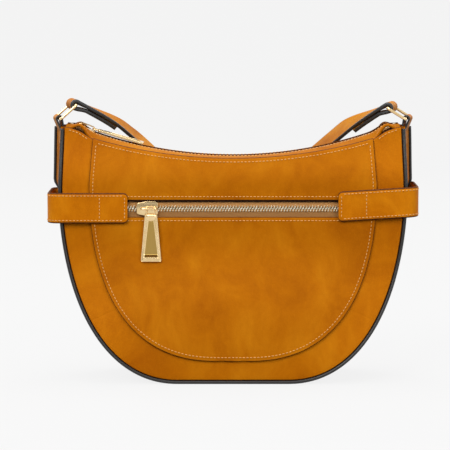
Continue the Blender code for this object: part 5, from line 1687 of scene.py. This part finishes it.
def make_body_stitches():
    """Rows of stitches on the panel, round the zip's slot and along the top edges."""
    inner = inset_line(resample(mirror_line(panel_side()), STITCH_LINE_PITCH), STITCH_INSET)
    inner = inner[inner[:, 1] < top_edge(inner[:, 0]) - TOP_STITCH_CLEAR]
    stitch_on("front_panel_stitches", inner, front_y, PANEL_LIFT)
    down = np.array([0.0, TOP_STITCH_INSET])
    stitch_on("front_top_stitches", top_line(PANEL_TOP_HALF_WIDTH - END_STITCH_AWAY) - down, front_y, PANEL_LIFT)
    low = SLOT_HEIGHT_CENTRE - SLOT_HEIGHT / 2 - SLOT_STITCH_AWAY
    high = SLOT_HEIGHT_CENTRE + SLOT_HEIGHT / 2 + SLOT_STITCH_AWAY
    half = SLOT_HALF_LENGTH + SLOT_STITCH_AWAY
    rows = {"low": [(-half, low), (half, low)], "high": [(-half, high), (half, high)],
            "left": [(-half, low), (-half, high)], "right": [(half, low), (half, high)]}
    for name, line in rows.items():
        stitch_on("front_slot_stitches_" + name, line, front_y, PANEL_LIFT)
    end = CORNER_HALF_WIDTH - CORNER_STITCH_AWAY
    for side, sign in SIDES:
        x = np.linspace(PANEL_TOP_HALF_WIDTH + END_STITCH_AWAY, end, HORN_STITCH_STATIONS)
        stitch_on("front_horn_stitches_" + side, np.stack([sign * x, top_edge(x)], axis=1) - down, front_y, 0.0)
    stitch_on("back_top_stitches", top_line(end) - down, back_y, LEATHER)


def make_slot_shadow_strip():
    """A dark strip along the top of the front slot: painted shadow under the slot's upper edge."""
    level = SLOT_HEIGHT_CENTRE + SLOT_HEIGHT / 2 - SLOT_SHADOW_RADIUS
    half = SLOT_HALF_LENGTH - SLOT_SHADOW_RADIUS
    path = [(x, front_y(x, level, PANEL_LIFT) + SLOT_SHADOW_DEPTH, level)
            for x in np.linspace(-half, half, SLOT_SHADOW_STATIONS)]
    dress(tube_piece("front_slot_shadow_strip", path, SLOT_SHADOW_RADIUS, SLOT_SHADOW_SIDES), [finish("slot_shadow_dark")])


# Stage
FLOOR_HALF_WIDTH = 4.0
FLOOR_FRONT = -3.5
FLOOR_BACK = 2.0
SWEEP_RADIUS = 1.2
WALL_HEIGHT = 4.0
SWEEP_STEPS = 16
FLOOR_GLOW = 0.847
FLOOR_ALBEDO = 0.05
WORLD_LEVEL = 0.80
WHITE = (1.0, 1.0, 1.0, 1.0)
SENSOR_WIDTH = 36.0
LIGHT_AIM = Vector((0.0, 0.0, 0.1))

# Place, size and power of each lamp
LIGHTS = {
    "key_light": ((-0.9, -1.6, 1.5), 1.2, 32.0),
    "fill_light": ((1.3, -1.4, 0.8), 1.2, 15.0),
    "top_light": ((0.0, 0.2, 1.9), 1.4, 27.0),
    "back_left_light": ((-1.5, 1.7, 1.1), 0.9, 16.0),
    "back_right_light": ((1.5, 1.7, 1.1), 0.9, 16.0),
}

# Place and half size of each dark card
FLAGS = {
    "flag_left": ((-1.5, -1.3, 0.5), (0.25, 0.8)),
    "flag_right": ((1.6, -0.9, 0.4), (0.25, 0.8)),
    "flag_low": ((0.0, -2.6, -0.2), (1.2, 0.35)),
    "flag_camera": ((0.25, -3.1, 0.75), (0.65, 0.3)),
}
CARD_CORNERS = ((-1, -1), (1, -1), (1, 1), (-1, 1))
CARD_COLOR = (0.01, 0.01, 0.01)


def add_values(tree, first, second):
    """The sum of two node values, kept between 0 and 1."""
    total = tree.nodes.new("ShaderNodeMath")
    total.operation = "ADD"
    total.use_clamp = True
    tree.links.new(first, total.inputs[0])
    tree.links.new(second, total.inputs[1])
    return total.outputs["Value"]


def make_floor():
    """Pale floor that sweeps up behind; it looks white and still takes the bag's shadow."""
    profile = [(FLOOR_FRONT, 0.0), (FLOOR_BACK, 0.0)]
    for turn in np.linspace(0.0, math.pi / 2, SWEEP_STEPS + 1)[1:]:
        profile.append((FLOOR_BACK + SWEEP_RADIUS * math.sin(turn), SWEEP_RADIUS * (1 - math.cos(turn))))
    profile.append((FLOOR_BACK + SWEEP_RADIUS, WALL_HEIGHT))
    rows = [[(x, y, z) for x in (-FLOOR_HALF_WIDTH, FLOOR_HALF_WIDTH)] for y, z in profile]
    floor = grid_piece("floor", rows, None)
    material, tree, shader = new_material("pale_floor", (FLOOR_ALBEDO,) * 3, 1.0)
    shader.inputs["Emission Color"].default_value = WHITE
    shader.inputs["Specular IOR Level"].default_value = 0.0
    path = tree.nodes.new("ShaderNodeLightPath").outputs
    seen = add_values(tree, path["Is Camera Ray"], path["Is Glossy Ray"])
    seen = add_values(tree, seen, path["Is Transmission Ray"])
    tree.links.new(map_range(tree, seen, 0.0, FLOOR_GLOW), shader.inputs["Emission Strength"])
    dress(floor, [material])


def make_lights():
    """Soft white world and five square lamps."""
    world = bpy.data.worlds.new("soft_world")
    world.use_nodes = True
    tree = world.node_tree
    background = tree.nodes["Background"]
    background.inputs["Color"].default_value = WHITE
    seen = tree.nodes.new("ShaderNodeLightPath").outputs["Is Camera Ray"]
    tree.links.new(map_range(tree, seen, WORLD_LEVEL, 1.0), background.inputs["Strength"])
    bpy.context.scene.world = world
    for name, (place, size, power) in LIGHTS.items():
        light = bpy.data.lights.new(name, "AREA")
        light.size = size
        light.energy = power
        lamp = bpy.data.objects.new(name, light)
        lamp.location = place
        lamp.rotation_euler = (LIGHT_AIM - Vector(place)).to_track_quat("-Z", "Y").to_euler()
        bpy.context.scene.collection.objects.link(lamp)


def make_camera():
    """The camera at the photograph's angle and scale."""
    scene = bpy.context.scene
    camera = bpy.data.cameras.new("camera")
    camera.sensor_width = SENSOR_WIDTH
    camera.lens = SENSOR_WIDTH * CAMERA_DISTANCE / (FRAME_PIXELS * METRES_PER_PIXEL)
    eye = bpy.data.objects.new("camera", camera)
    away = Vector((0.0, -math.cos(CAMERA_ELEVATION), math.sin(CAMERA_ELEVATION)))
    eye.location = CAMERA_TARGET + away * CAMERA_DISTANCE
    eye.rotation_euler = (-away).to_track_quat("-Z", "Y").to_euler()
    scene.collection.objects.link(eye)
    scene.camera = eye
    scene.view_settings.view_transform = "Standard"


def make_flags():
    """Dark cards out of the picture, which give the metal its dark reflections."""
    material = new_material("black_card", CARD_COLOR, 1.0)[0]
    for name, (place, (half_width, half_height)) in FLAGS.items():
        centre = Vector(place)
        aim = (CAMERA_TARGET - centre).to_track_quat("Z", "Y")
        corners = [centre + aim @ Vector((u * half_width, v * half_height, 0.0)) for u, v in CARD_CORNERS]
        card = add_mesh(name, corners, [(0, 1, 2, 3)], None)
        dress(card, [material])
        card.visible_camera = False


make_front_panel()
make_front_bands()
make_back_panel()
make_piping()
make_gusset()
make_top_bands()
make_front_zip()
make_top_zip()
make_sliders()
make_belts()
make_rings()
make_ring_tabs()
make_strap()
make_lining()
make_pocket()
make_board()
make_body_stitches()
make_slot_shadow_strip()
make_floor()
make_lights()
make_camera()
make_flags()
